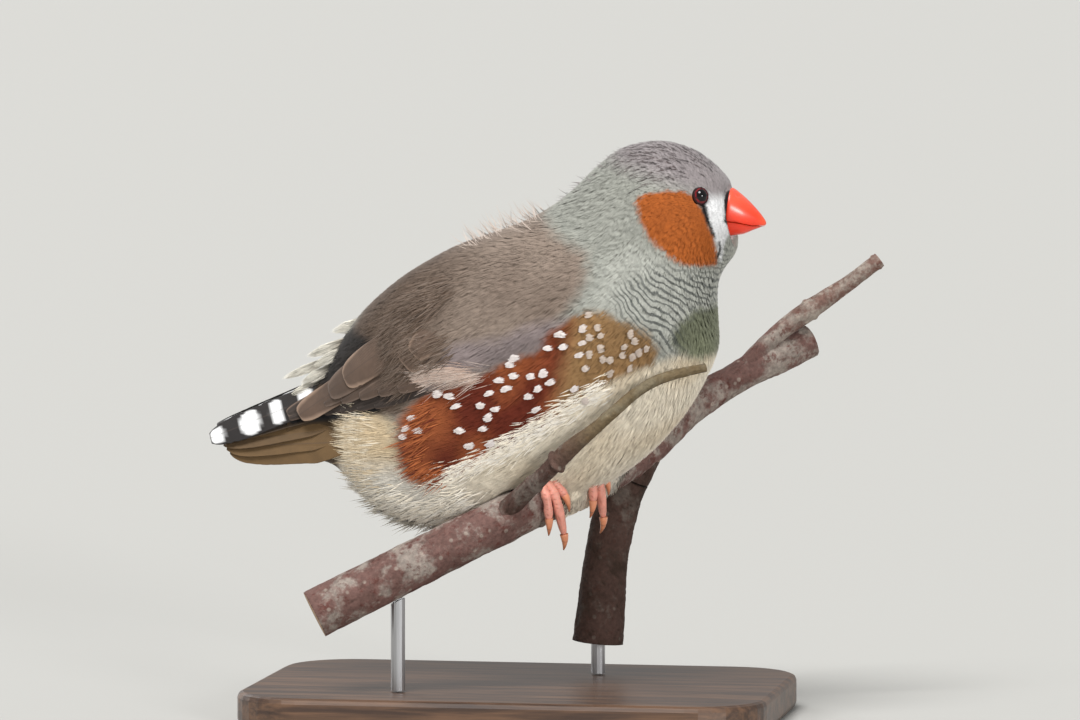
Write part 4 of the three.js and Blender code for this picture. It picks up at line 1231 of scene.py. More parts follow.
# %% Loose feathers
PALE_PINK, WARM_GREY = linear(214, 196, 182), linear(176, 160, 148)
SILK_PALE, SILK_TAN = linear(224, 208, 196), linear(196, 164, 146)
WISP_WHITE, WISP_GREY = linear(242, 236, 226), linear(120, 112, 108)
LOOSE_FEATHERS = [
    # name, slot, line on the side view,
    # count, scatter, length, degrees upwards, how far the tips stand off, width, tones, unruliness
    ("ruffled_tuft", "feathers_brown", [(5.5, 90.0), (0.5, 88.9), (-3.5, 87.0), (-7.0, 85.2)],
     80, 0.7, (2.6, 5.0), 22, (0.6, 2.4), 0.13, (PALE_PINK, WARM_GREY), 22),
    ("silky_hairs", "feathers_cream", [(-1.5, 63.4), (-5.5, 63.8), (-9.5, 63.6), (-12.5, 62.6)],
     620, 0.6, (4.5, 8.5), -12, (0.1, 0.7), 0.1, (SILK_PALE, SILK_TAN)),
    ("white_wisps", "feathers_cream",
     [(20.0, 61.6), (12.0, 56.8), (6.0, 53.0), (0.0, 49.4), (-6.0, 46.4), (-12.5, 42.8)],
     1050, 0.9, (2.6, 5.0), -22, (0.05, 0.4), 0.24, (WISP_WHITE, BELLY_CREAM)),
    ("flank_ends", "feathers_cream", [(-11.0, 58.0), (-13.5, 53.0), (-14.0, 48.0), (-10.0, 45.5)],
     260, 1.0, (4.0, 7.5), -26, (0.4, 1.2), 0.24, (CHESTNUT_LIGHT, CHESTNUT)),
    ("loose_down", "feathers_cream", [(-6.0, 40.0), (-12.0, 37.4), (-18.0, 37.4), (-23.0, 41.0)],
     900, 1.8, (3.0, 5.5), -8, (0.1, 1.3), 0.26, (VENT_WHITE, BELLY_CREAM)),
    ("tail_root_down", "feathers_cream", [(-25.0, 56.0), (-25.6, 51.0), (-25.0, 46.0), (-23.0, 43.0)],
     620, 1.3, (3.6, 7.0), 2, (0.1, 0.9), 0.26, (BELLY_CREAM, BELLY_TAN)),
    # The shoulder tufts take the back's darker tone, which is partly painted shade.
    ("shoulder_tufts", "feathers_brown",
     [(-9.0, 78.5), (-13.5, 76.5), (-16.5, 72.6), (-14.0, 68.6), (-9.0, 68.2)],
     1100, 1.3, (3.4, 6.4), -34, (0.2, 1.3), 0.2, (MANTLE_BACK_SHADED * 1.15, MANTLE_DARK)),
    ("shoulder_ends", "feathers_brown",
     [(-13.5, 77.0), (-17.0, 73.5), (-18.5, 69.5), (-17.5, 65.5), (-15.5, 63.0)],
     900, 0.9, (4.5, 7.5), -38, (0.7, 1.7), 0.2, (MANTLE_BACK_SHADED, MANTLE_DARK * 0.85)),
    ("crown_wisps", "feathers_grey",
     [(30.0, 101.6), (25.0, 102.8), (19.5, 101.8), (13.5, 97.8), (8.5, 93.4)],
     45, 0.6, (1.6, 3.0), 3, (0.1, 0.5), 0.13, (CROWN_GREY, WISP_GREY)),
]
for row in LOOSE_FEATHERS:
    strands(*row)

# %% [markdown]
# The flank's white spots sit in pairs, one on each side of a feather's shaft. Each is a
# small round brush of short white blades that stands just proud of the chestnut coat, with a
# ragged edge. Their places were read from the side of the bird.

# %% White flank spots
SPOTS = [
    (15.0, 74.0), (14.0, 71.5), (16.6, 71.8), (17.2, 70.3), (15.2, 70.0), (13.9, 69.0), (10.0, 70.5),
    (10.5, 68.3), (7.8, 68.0), (17.2, 68.0), (15.2, 67.0), (13.4, 66.8), (17.6, 66.0), (18.8, 66.0),
    (14.5, 64.4), (18.8, 63.5), (21.3, 68.3), (21.0, 66.8), (22.4, 70.6), (23.1, 69.3), (23.8, 67.2),
    (22.7, 66.5), (25.1, 68.0), (22.2, 64.4), (12.5, 60.7), (14.3, 58.6), (1.8, 66.2), (1.0, 65.0),
    (1.6, 63.0), (4.7, 63.0), (7.0, 63.5), (8.2, 61.9), (6.0, 60.7), (4.2, 59.3), (5.6, 57.0),
    (-1.0, 62.2), (0.2, 60.7), (-2.9, 59.8), (-4.5, 57.6), (-1.8, 57.0), (-3.2, 55.4), (-4.2, 53.4),
    (-2.9, 50.7), (-6.8, 50.2), (-8.6, 53.0), (-9.1, 57.3), (-10.2, 59.2), (-12.4, 59.5), (-17.4, 55.0),
    (-16.3, 52.8), (-19.2, 51.6), (-18.6, 53.0),
]
BRUSH_BLADES = 60
BRUSH_STEPS = [
    # share of the length, height in depths of the coat
    (0.0, 0.1), (0.5, 1.15), (1.0, 1.55),
]
BRUSH_WIDTHS = [0.16, 0.24, 0.0]
SPOT_WHITE = linear(232, 222, 218)
FRONT_DIM = [0.34, 0.40, 0.48]  # spots at the front are duller and pinker
spots = np.repeat(np.array(SPOTS * 2), BRUSH_BLADES, axis=0)
side = np.repeat(np.repeat([-1.0, 1.0], len(SPOTS)), BRUSH_BLADES)
radius = np.repeat(rng.uniform(0.46, 0.66, 2 * len(SPOTS)), BRUSH_BLADES)
front = smooth(spots[:, 0], 12.5, 15.5)
radius *= 1 - 0.3 * front
total = len(spots)
turn = rng.uniform(0, 2 * math.pi, total)
ring_share = np.sqrt(rng.uniform(0, 1, total))
uneven = np.repeat(rng.uniform(0, 2 * math.pi, (2 * len(SPOTS), 2)), BRUSH_BLADES, axis=0)
ring_share *= 1 + 0.2 * np.sin(2 * turn + uneven[:, 0]) + 0.14 * np.sin(3 * turn + uneven[:, 1])
offset = np.column_stack([np.cos(turn) * (1 - 0.3 * front), np.sin(turn) * (0.85 + 0.55 * front)])
tip_at = spots + offset * (radius * ring_share)[:, None]
root_at = tip_at + np.column_stack([rng.uniform(0.7, 1.1, total), rng.uniform(0.05, 0.35, total)])
lines, outs = [], []
for share, level in BRUSH_STEPS:
    at = root_at + (tip_at - root_at) * share
    place, angle = near_side(at[:, 0], at[:, 1], side)
    point, outward, _, _ = body_frame(place, angle)
    loft = skin_height(point, place) + coat_depth(place) * level + 0.25 * share
    lines.append(point + outward * loft[:, None])
    outs.append(outward)
tint = np.broadcast_to(SPOT_WHITE, (total, 3, 3)) * rng.uniform(0.88, 1.04, (total, 1, 1))
tint = np.clip(tint * (1 - front[:, None, None] * FRONT_DIM), 0, 1)
widths = np.broadcast_to(np.array(BRUSH_WIDTHS), (total, 3))
home = bake_place(*near_side(spots[:, 0], spots[:, 1], side))
blades_object("flank_spots", np.stack(lines, axis=1), np.stack(outs, axis=1), widths, tint,
              np.zeros((total, 3)), home, "feathers_cream")
print(len(SPOTS), "spots on each side")

# %% [markdown]
# A flight feather is a vane: a shaft with barbs on both sides that hook into one surface.
# Each starts as a flat grid, which is bent over the body along a line from its root to its
# tip, narrow at the root and rounded at the tip, cupped a little, and given thickness by a
# Solidify modifier. How near a point is to the vane's rim is stored, because the feathers
# of this bird have a paler rim, and a map in real units lets the finish draw the barbs.

# %% The vane's finish
BARB_SPACING = 0.024  # on the map, which is in centimetres
SHAFT_BROWN = rgba(70, 58, 52)
vane_finish, tree, shader, place = finish("vane", 0.7, Sheen_Weight=0.1, Specular_IOR_Level=0.3)
split = node(tree, "SeparateXYZ", Vector=node(tree, "UVMap", {"uv_map": "barbs"}).outputs["UV"])
from_shaft = size_of(tree, split.outputs[0])
stray = cloudy(tree, place, 700.0)
slant = minus(tree, times(tree, split.outputs[1], 0.8), times(tree, from_shaft, 0.6))
slant = plus(tree, slant, times(tree, stray, 0.03))
barbs = sine(tree, times(tree, slant, 2 * math.pi / BARB_SPACING))
rim_edge = minus(tree, stored(tree, "rim"), times(tree, stray, 0.3))
colour = mix(tree, remap(tree, rim_edge, -0.1, 0.85, 0.9, 0.0), stored(tree, "tint", "Color"),
             stored(tree, "rim_tint", "Color"))
colour = tinted(tree, colour, place, 520.0, 0.88, 1.1)
colour = mix(tree, remap(tree, from_shaft, 0.006, 0.016, 0.35, 0.0), colour, SHAFT_BROWN)
colour = mix(tree, 1.0, colour, remap(tree, barbs, -1.0, 1.0, 0.9, 1.06), "MULTIPLY")
painted(tree, shader, colour)
bump(tree, shader, barbs, 0.35, 0.05)
print("finish", vane_finish.name)

# %% [markdown]
# One function makes all the vanes of a piece. It asks for each feather's line over the body,
# its width and its colours. Small notches in the rim, where barbs have come unhooked, keep
# the edges from looking cut with scissors.

# %% Vanes
VANE_ROWS, VANE_COLUMNS = 36, 12
VANE_THICKNESS = 0.14
SHAFT_HEIGHT, SHAFT_WIDTH = 0.10, 0.22
NOTCH_DEPTH, NOTCH_CHANCE = 0.06, 0.05


def blade_width(share):
    """A feather's width along its length: a narrow root, an even blade and a rounded tip."""
    body = np.minimum(0.55 + 1.6 * share, 1)
    return body * np.sqrt(np.maximum(1 - (np.abs(share - 0.45) / 0.57) ** 4, 0)) + 0.02


def bent_vane(line, outward, width, cup):
    """The grid points of one vane, and how far each is from the rim and from the shaft."""
    share = np.linspace(0, 1, VANE_ROWS + 1)
    across = np.sin(np.linspace(-1, 1, VANE_COLUMNS + 1) * math.pi / 2)
    ahead = unit(np.gradient(line, axis=0))
    side = unit(np.cross(ahead, outward))
    half = width / 2 * blade_width(share)
    uneven = 0.02 * rng.random((VANE_ROWS + 1, 2))
    notch = 1 - uneven - NOTCH_DEPTH * (rng.random((VANE_ROWS + 1, 2)) > 1 - NOTCH_CHANCE)
    notch = np.where(share[:, None] > 0.25, notch, 1)
    reach = across[None] * half[:, None] * np.where(across[None] < 0, notch[:, :1], notch[:, 1:])
    lift = SHAFT_HEIGHT * np.exp(-((reach / SHAFT_WIDTH) ** 2)) - cup * reach**2
    points = line[:, None] + side[:, None] * reach[..., None] + outward[:, None] * lift[..., None]
    length = np.linalg.norm(np.diff(line, axis=0), axis=1).sum()
    to_edge, to_tip = (1 - np.abs(across[None])) * half[:, None], (1 - share[:, None]) * length * 0.9
    return points, np.minimum(to_edge, to_tip), reach, share[:, None] * length + 0 * reach


print("a vane has", VANE_ROWS * VANE_COLUMNS, "faces before it gets its thickness")

# %% [markdown]
# A wing or a tail is one piece of many vanes. All its grids are made first, and each is then
# bent to its own feather. The bake map gives each vane a cell of its own on a sheet, and the
# second map holds real distances, from the shaft and from the root, for the barbs.

# %% Pieces of many vanes
def no_marks(share, across):
    """A vane of one tone has no marks."""
    return np.zeros(share.shape)


def vanes_object(name, feathers, slot, node_name):
    """A piece of many vanes. Each feather is a dict of line, outward, width, colours and more."""
    shape = bmesh.new()
    for _ in feathers:
        bmesh.ops.create_grid(shape, x_segments=VANE_COLUMNS, y_segments=VANE_ROWS, size=0.5)
    mesh, flat = new_mesh(name, shape)
    column = np.rint((flat[:, 0] + 0.5) * VANE_COLUMNS).astype(int)
    row = np.rint((flat[:, 1] + 0.5) * VANE_ROWS).astype(int)
    owner = np.arange(len(flat)) // ((VANE_ROWS + 1) * (VANE_COLUMNS + 1))
    points, tints, rim_tints, barb, bake = (np.zeros((len(flat), k)) for k in (3, 3, 3, 2, 2))
    rims = np.zeros(len(flat))
    per_row = math.ceil(math.sqrt(len(feathers)))
    for index, feather in enumerate(feathers):
        mine = owner == index
        r, c = row[mine], column[mine]
        made, rim_distance, reach, distance = bent_vane(
            feather["line"], feather["outward"], feather["width"], feather.get("cup", 0.05))
        points[mine] = made[r, c]
        share, across = r / VANE_ROWS, c / VANE_COLUMNS * 2 - 1
        bare_rim = 1 - smooth(share, *feather.get("rimmed", (0, 0.1)))
        rims[mine] = rim_distance[r, c] / feather.get("rim", 1.0) + bare_rim
        tints[mine] = shaded(feather["tint"], WHITE, feather.get("marks", no_marks)(share, across))
        rim_tints[mine] = feather["rim_tint"]
        barb[mine] = np.column_stack([reach[r, c], distance[r, c]]) / 10
        cell = np.array([index % per_row, index // per_row])
        bake[mine] = (cell + 0.06 + 0.88 * np.column_stack([c / VANE_COLUMNS, share])) / per_row
    move_to(mesh, points)
    store(mesh, "rim", rims)
    store(mesh, "tint", tints)
    store(mesh, "rim_tint", rim_tints)
    corners = corner_vertices(mesh)
    add_map(mesh, "OFBake", bake[corners])
    add_map(mesh, "barbs", barb[corners])
    piece = in_material(name, mesh, vane_finish, slot, node_name)
    shell = piece.modifiers.new("thickness", "SOLIDIFY")
    shell.thickness = VANE_THICKNESS * MM
    shell.offset = -1
    print(name, len(feathers), "vanes")


print("meshes so far:", len(bpy.data.meshes))

# %% [markdown]
# The folded wing is built as it lies, from the lowest layer to the highest: the long flight
# feathers that show as a dark edge, two black ones at the tip, their coverts, and the large
# inner feathers with pale rims that roof them. Each layer's roots are lifted less than its
# tips, so the feathers overlap without cutting through each other.

# %% Wings
VANE_BROWN = linear(90, 72, 60)
VANE_DARK = linear(52, 43, 38)
RIM_BUFF = linear(150, 126, 108)
RIM_GREY = linear(112, 94, 82)


WING_TIERS = [
    # count, first and last root, first and last tip, width, lift of root and tip, tone, rim, rim's width
    (6, ((-8.0, 62.6), (-9.0, 67.0)), ((-24.0, 57.0), (-41.6, 53.8)), 1.9, (0.3, 0.5),
     VANE_DARK, VANE_BROWN * 0.7, 0.4),
    (2, ((-8.0, 69.6), (-8.0, 72.0)), ((-38.4, 55.2), (-42.0, 54.6)), 3.0, (0.5, 0.5),
     VANE_DARK, RIM_GREY, 0.5),
    (5, ((-6.0, 64.6), (-7.0, 72.0)), ((-19.0, 60.4), (-34.0, 56.8)), 2.6, (0.2, 1.2),
     VANE_BROWN * 0.8, RIM_GREY * 0.9, 0.5),
]
INNER_FEATHERS = [
    # root, tip, width, lift of root and tip, tone, rim, how far it bows up
    ((-9.0, 72.0), (-39.4, 54.4), 5.2, (0.3, 1.3), VANE_BROWN, RIM_BUFF, 0.4),
    ((-7.0, 76.0), (-32.5, 59.0), 5.6, (0.0, 1.6), VANE_BROWN * 0.85, RIM_GREY, 0.5),
    ((-9.0, 74.5), (-29.2, 61.5), 6.6, (0.2, 1.8), VANE_BROWN, RIM_BUFF, 0.8),
    ((-6.0, 77.5), (-17.4, 64.6), 6.4, (0.4, 2.25), VANE_BROWN * 0.95, RIM_BUFF, -0.3),
    ((-5.5, 77.5), (-15.6, 66.4), 5.4, (0.4, 2.5), VANE_BROWN, RIM_BUFF, -0.2),
]


def wing_feather(side, root, tip, width, lift, tint, rim_tint, bow=0.0, **more):
    """A vane that follows the folded wing from root to tip, both on the side view."""
    share = 1 - (1 - np.linspace(0, 1, VANE_ROWS + 1)) ** 1.35
    at = np.array(root) + (np.array(tip) - np.array(root)) * share[:, None]
    at[:, 1] += bow * np.sin(share * math.pi)
    place, angle = near_side(at[:, 0], at[:, 1], side)
    point, outward, _, _ = body_frame(place, angle)
    level = lift[0] + (lift[1] - lift[0]) * smooth(share, 0.2, 0.95)
    return {"line": point + outward * level[:, None], "outward": outward, "width": width, "tint": tint,
            "rim_tint": rim_tint, "rimmed": (0.5, 0.85), **more}


def spaced(count, roots, tips):
    """Roots and tips of a tier's feathers, spread evenly from its first to its last."""
    for share in np.linspace(0, 1, count):
        yield (tuple(np.array(roots[0]) + (np.array(roots[1]) - roots[0]) * share),
               tuple(np.array(tips[0]) + (np.array(tips[1]) - tips[0]) * share), share)


def wing_feathers(side):
    """The folded wing from its lowest layer to its highest."""
    made = []
    for count, roots, tips, *look, rim in WING_TIERS:
        made += [wing_feather(side, root, tip, *look, rim=rim) for root, tip, _ in spaced(count, roots, tips)]
    return made + [wing_feather(side, *row) for row in INNER_FEATHERS]


vanes_object("wing_feathers_right", wing_feathers(-1.0), "feathers_brown", "wing_right")
vanes_object("wing_feathers_left", wing_feathers(1.0), "feathers_brown", "wing_left")

# %% [markdown]
# The tail has ten feathers here that lie like roof tiles, the middle pair on top. They are
# nearly black above and olive brown at the sides. Over them lie four long coverts, two a side,
# with round white blotches on black, by which this bird is known from behind.

# %% The tail
TAIL_BLACK = linear(34, 30, 29)
BLOTCH_WIDTH, BLOTCH_ROUNDING = 0.68, 2.6


def straight_feather(side, root, tip, width, slope, tint, rim_tint, **more):
    """A straight vane between two points that slopes down to the side like a roof."""
    share = np.linspace(0, 1, VANE_ROWS + 1)[:, None]
    start, end = np.array(root) * (1, side, 1), np.array(tip) * (1, side, 1)
    ahead = unit(end - start)
    angle = math.radians(slope)
    outward = np.array([0, side * math.sin(angle), math.cos(angle)])
    outward = unit(outward - ahead * (outward @ ahead))
    line = start + (end - start) * share
    return {"line": line, "outward": np.broadcast_to(outward, line.shape), "width": width, "tint": tint,
            "rim_tint": rim_tint, **more}


def white_bars(bars):
    """Rounded white blotches across a vane, each given by its start and end along it."""
    def marks(share, across):
        shown = np.zeros(share.shape)
        for first, last in bars:
            along = np.abs((share - (first + last) / 2) / ((last - first) / 2))
            reach = along**BLOTCH_ROUNDING + np.abs(across / BLOTCH_WIDTH) ** BLOTCH_ROUNDING
            shown = np.maximum(shown, 1 - smooth(reach, 0.75, 1.2))
        return shown
    return marks


NEAR_BARS = ((0.18, 0.29), (0.42, 0.525), (0.61, 0.755), (0.89, 1.1))
TOP_BARS = ((0.15, 0.27), (0.34, 0.42), (0.53, 0.645), (0.78, 0.92))
TAIL_ROOTS, TAIL_TIPS = ((-33.0, 1.6, 58.6), (-29.6, 7.4, 50.0)), ((-55.8, 1.5, 50.3), (-53.2, 2.6, 48.4))
COVERTS = [
    # root, tip, width, slope, tone, rim, blotches, cup
    ((-33.0, 4.6, 59.6), (-56.8, 3.0, 49.9), 5.5, 62, TAIL_BLACK, TAIL_BLACK, NEAR_BARS, 0.03),
    ((-34.0, 1.4, 61.8), (-56.0, 1.0, 52.3), 3.6, 22, TAIL_BLACK, TAIL_BLACK, TOP_BARS, 0.05),
]
tail = []
for side in (-1, 1):
    for root, tip, share in spaced(5, TAIL_ROOTS, TAIL_TIPS):
        tint = TAIL_BLACK + (TAIL_OLIVE - TAIL_BLACK) * min(1, 1.6 * share)
        tail.append(straight_feather(side, root, tip, 4.6 + 2.6 * share, 10 + 66 * share, tint, tint * 1.08,
                                     cup=0.02, rim=0.3))
    for *look, blotches, cup in COVERTS:
        tail.append(straight_feather(side, *look, marks=white_bars(blotches), cup=cup, rim=0.25))
vanes_object("tail_feathers", tail, "feathers_black", "tail")

# %% [markdown]
# Pointed pale feathers stand out over the rump in two short rows. Their barbs are loose and
# don't hook together, so each is made as a bundle of fine blades that narrows to a point.

# %% Rump feathers
RUMP_POINTS = [
    # root, tip, distance from the middle, width
    ((-27.5, 71.5), (-34.3, 69.6), 1.8, 2.4), ((-31.5, 68.0), (-38.9, 65.0), 2.6, 2.0),
    ((-31.0, 66.6), (-37.4, 63.4), 3.4, 2.2), ((-35.0, 64.4), (-43.3, 61.0), 2.2, 1.8),
    ((-33.6, 63.4), (-39.8, 60.2), 3.2, 2.3), ((-36.0, 60.4), (-41.6, 58.2), 2.9, 2.2),
]
POINT_BLADES = 130
POINT_STEPS = [
    # share of the length, share of the width
    (0.0, 0.6), (0.5, 1.0), (1.0, 0.8),
]
POINT_WIDTHS = [0.16, 0.15, 0.0]
POINT_GREY = linear(150, 140, 124)
POINT_CREAM = linear(236, 230, 214)


def rump_feather(side, root, tip, y, width):
    """One bundle of blades between a root and a tip on the side view."""
    start, end = np.array([root[0], side * y, root[1]]), np.array([tip[0], side * (y + 0.2), tip[1]])
    across = unit(np.cross(unit(end - start), [0.0, side, 0.3]))
    aside = rng.uniform(-1, 1, POINT_BLADES)
    first = rng.uniform(0, 0.5, POINT_BLADES)
    last = 1 - 0.3 * aside**2 + rng.normal(0, 0.03, POINT_BLADES)
    lines = []
    for part, fan in POINT_STEPS:
        share = (first + (last - first) * part)[:, None]
        level = rng.normal(0, 0.12, (POINT_BLADES, 1)) * [0, 1, 0]
        lines.append(start + (end - start) * share + across * (aside * fan * width / 2)[:, None] + level)
    line = np.stack(lines, axis=1)
    share = np.clip((line[..., 0] - start[0]) / (end[0] - start[0]), 0, 1)
    tint = shaded(POINT_GREY, POINT_CREAM, smooth(share, 0.1, 0.55))
    tint = tint * rng.uniform(0.9, 1.05, (POINT_BLADES, 1, 1))
    outward = np.broadcast_to(unit(np.array([-0.2, side * 0.25, 1.0])), line.shape)
    widths = np.broadcast_to(POINT_WIDTHS, (POINT_BLADES, 3))
    home = bake_place(*near_side(np.full(POINT_BLADES, root[0]), np.full(POINT_BLADES, root[1]), side))
    return line, outward, widths, tint, np.zeros((POINT_BLADES, 3)), home


bundles = [rump_feather(side, *row) for side in (-1, 1) for row in RUMP_POINTS]
blades_object("rump_points", *(np.concatenate(values) for values in zip(*bundles)), "feathers_black")

# %% [markdown]
# The eye is a dark wet ball with a wide black pupil and a thin red-brown iris, held by a ring
# of bare lids. How far a point is from the axis of sight is stored, so the finish can draw
# the iris as rings on both eyes. The clear front bulges a little, which catches the light.

# %% Eyes
EYE_RADIUS, PUPIL_RADIUS, IRIS_RADIUS = 1.85, 1.14, 1.5
EYE_OVAL = 0.88
CORNEA_RADIUS, CORNEA_BULGE = 1.3, 0.16


def turned_to(direction):
    """The turn that points the Z axis in a direction, as a matrix."""
    return np.array(Vector(direction).to_track_quat("Z", "Y").to_matrix())


IRIS_DARK, IRIS_RED = rgba(58, 12, 16), rgba(124, 28, 32)
PUPIL_BLACK, IRIS_EDGE = rgba(6, 5, 6), rgba(20, 8, 9)
eye_finish, tree, shader, place = finish("eye", 0.05, Specular_IOR_Level=0.4)
off_axis = stored(tree, "off_axis")
iris = mix(tree, remap(tree, cloudy(tree, place, 2600.0), 0.35, 0.65), IRIS_DARK, IRIS_RED)
colour = mix(tree, remap(tree, off_axis, PUPIL_RADIUS - 0.08, PUPIL_RADIUS + 0.08), PUPIL_BLACK, iris)
colour = mix(tree, remap(tree, off_axis, IRIS_RADIUS - 0.05, IRIS_RADIUS + 0.12), colour, IRIS_EDGE)
painted(tree, shader, colour)
for side_name, at, outward in zip(("right", "left"), eye_centre, eye_out):
    shape = bmesh.new()
    bmesh.ops.create_uvsphere(shape, u_segments=48, v_segments=32, radius=EYE_RADIUS)
    mesh, ball = new_mesh("eyeball_" + side_name, shape)
    axis_distance = np.hypot(ball[:, 0], ball[:, 1])
    front = (ball[:, 2] > 0) * np.clip(1 - (axis_distance / CORNEA_RADIUS) ** 2, 0, 1)
    ball[:, 2] += CORNEA_BULGE * front
    store(mesh, "off_axis", axis_distance + 3 * (ball[:, 2] < 0))
    ball[:, 0] *= EYE_OVAL
    move_to(mesh, at + ball @ turned_to(outward).T)
    in_material("eyeball_" + side_name, mesh, eye_finish, "eye", "eye_" + side_name)
print("eyes", np.round(eye_centre, 1).tolist())

# %% [markdown]
# The lids are a ring of bare, wrinkled skin. A small circle spun round the axis of sight
# makes it, and it is pulled a little oval, as the real opening is.

# %% Lids
LID_RADIUS, LID_THICKNESS = 1.45, 0.15
LID_RISE = 0.18
LID_BROWN = rgba(52, 28, 30)
bare_skin, tree, shader, place = finish("lids", 0.7, Specular_IOR_Level=0.2)
painted(tree, shader, tinted(tree, LID_BROWN, place, 1800.0, 0.6, 1.3))
bump(tree, shader, cloudy(tree, place, 3200.0, 3.0), 0.6, 0.06)
for side_name, skin, outward in zip(("right", "left"), eye_skin, eye_out):
    shape = bmesh.new()
    made = bmesh.ops.create_circle(shape, segments=12, radius=LID_THICKNESS)
    for vertex in made["verts"]:
        x, y, _ = vertex.co
        vertex.co = (LID_RADIUS + x, 0, y)
    bmesh.ops.spin(shape, geom=shape.verts[:] + shape.edges[:], cent=(0, 0, 0), axis=(0, 0, 1),
                   angle=2 * math.pi, steps=48, use_merge=True, use_duplicate=False)
    bmesh.ops.recalc_face_normals(shape, faces=shape.faces)
    mesh, lid = new_mesh("lids_" + side_name, shape)
    turn = np.arctan2(lid[:, 1], lid[:, 0])
    lid[:, 2] += 0.04 * np.sin(9 * turn) - 0.08
    lid[:, :2] *= (1 + 0.02 * np.sin(14 * turn))[:, None]
    lid[:, 0] *= EYE_OVAL
    move_to(mesh, skin + outward * LID_RISE + lid @ turned_to(outward).T)
    in_material("lids_" + side_name, mesh, bare_skin, "eye")
print("lids", LID_RADIUS, "mm from the axis")

# %% [markdown]
# The bill is short, deep and waxy, and orange red. Upper and lower part come from the same
# sections as a sphere drawn out to them. Below the mouth line the upper part is pressed flat
# on the line, and the lower part above it, so they meet along the mouth and stay separate.
# The upper one overhangs the lower one a little all round, as in every seed eater.

# %% Bill
BILL = [
    # ridge x, ridge z, keel x, keel z, half width
    (38.6, 96.2, 37.8, 87.3, 3.75), (39.3, 96.0, 38.5, 87.6, 3.7), (41.6, 94.1, 40.7, 87.9, 2.9),
    (43.7, 91.9, 42.9, 88.7, 1.7), (45.1, 90.0, 44.8, 89.4, 0.45),
]
MOUTH_LINE = [(36.0, 91.2), (37.5, 90.9), (40.0, 90.5), (42.5, 89.7), (45.0, 89.5), (47.0, 89.4)]
BILL_PARTS = [
    # name, above or below the mouth, distance from its line, share of the width, how much shorter
    ("upper", 1, 0.05, 1.02, 0.0),
    ("lower", -1, 0.17, 0.95, 0.25),
]
TIP_SHARE, ROOT_SHARE = 0.10, 0.05  # the shares of the bill's rings that close its ends
MOUTH_CROWN = 0.03
NOSTRIL_AT, NOSTRIL_RADIUS, NOSTRIL_DEPTH = (39.9, 1.7, 95.0), 0.45, 0.4
# The lighter ridge red is a painted highlight on the upper part of the bill.
BILL_RED, RIDGE_HIGHLIGHT_RED, TIP_ORANGE = rgba(238, 56, 24), rgba(240, 84, 58), rgba(246, 112, 70)
bill_finish, tree, shader, place = finish("bill", 0.32, Coat_Weight=0.25, Coat_Roughness=0.2,
                                          Subsurface_Weight=0.12, Subsurface_Scale=0.001)
along = node(tree, "SeparateXYZ", Vector=place)
# Painted highlight: above 90.5 mm the bill is painted a lighter pinkish red, where light from above falls on
# it.
colour = mix(tree, remap(tree, along.outputs[2], 0.0905, 0.0950), BILL_RED, RIDGE_HIGHLIGHT_RED)
colour = mix(tree, remap(tree, along.outputs[0], 0.0430, 0.0455, 0.0, 0.5), colour, TIP_ORANGE)
painted(tree, shader, tinted(tree, colour, place, 420.0, 0.93, 1.07))
bump(tree, shader, cloudy(tree, place, 1500.0, 3.0), 0.15, 0.04)
for part, above, gap, width, shorter in BILL_PARTS:
    shape = bmesh.new()
    bmesh.ops.create_uvsphere(shape, u_segments=64, v_segments=56, radius=1)
    mesh, ball = new_mesh("bill_" + part + "_horn", shape)
    ring = np.arccos(np.clip(ball[:, 2], -1, 1)) / math.pi
    angle = np.arctan2(ball[:, 1], ball[:, 0])
    end = np.clip(np.minimum(ring / ROOT_SHARE, (1 - ring) / TIP_SHARE), 0, 1)
    horn = section_point(BILL, (len(BILL) - 1) * ring, angle, np.sqrt(1 - (1 - end) ** 2))
    edge = np.interp(horn[:, 0], *np.array(MOUTH_LINE).T) - gap - MOUTH_CROWN * horn[:, 1] ** 2
    horn[:, 2] = above * np.maximum(above * horn[:, 2], above * edge)
    horn[:, 1] *= width
    horn[:, 0] -= shorter * smooth(horn[:, 0], 40, 45)
    for side in (-1, 1):
        away = np.linalg.norm(horn - np.array(NOSTRIL_AT) * (1, side, 1), axis=1)
        horn[:, 2] -= NOSTRIL_DEPTH * np.exp(-((away / NOSTRIL_RADIUS) ** 2))
    move_to(mesh, horn)
    outwards(mesh)
    in_material("bill_" + part + "_horn", mesh, bill_finish, "bill", "bill_" + part)
print("bill", round(BILL[-1][0] - BILL[1][0], 1), "mm along its ridge")

# %% [markdown]
# Round limbs start as a bar: a cone of even width whose long edges are cut into many rings.
# Every vertex then knows its share of the length and its turn, and is moved to the limb's
# surface at that place. Toes, claws, twigs and the branch are all this one bar.

# %% Round bars
TOE_SIDES, TOE_RINGS = 16, 52


def bar_mesh(name, sides, rings):
    """A closed round bar's mesh, with each vertex's share of the length and its turn."""
    shape = bmesh.new()
    bmesh.ops.create_cone(shape, cap_ends=True, segments=sides, radius1=1, radius2=1, depth=1)
    upright = [e for e in shape.edges if abs(e.verts[0].co.z - e.verts[1].co.z) > 0.5]
    bmesh.ops.subdivide_edges(shape, edges=upright, cuts=rings - 1)
    mesh, points = new_mesh(name, shape)
    return mesh, points[:, 2] + 0.5, np.arctan2(points[:, 1], points[:, 0])


def on_limb(limb, share, turn, swell=0.0, squeeze=1.0):
    """Points on a limb's surface. Swell is added to its radius, and squeeze multiplies it."""
    centre, up, side, radius = limb_at(limb, share)
    out = up * np.cos(turn)[:, None] + side * np.sin(turn)[:, None]
    return centre + out * ((radius + swell) * squeeze)[:, None]


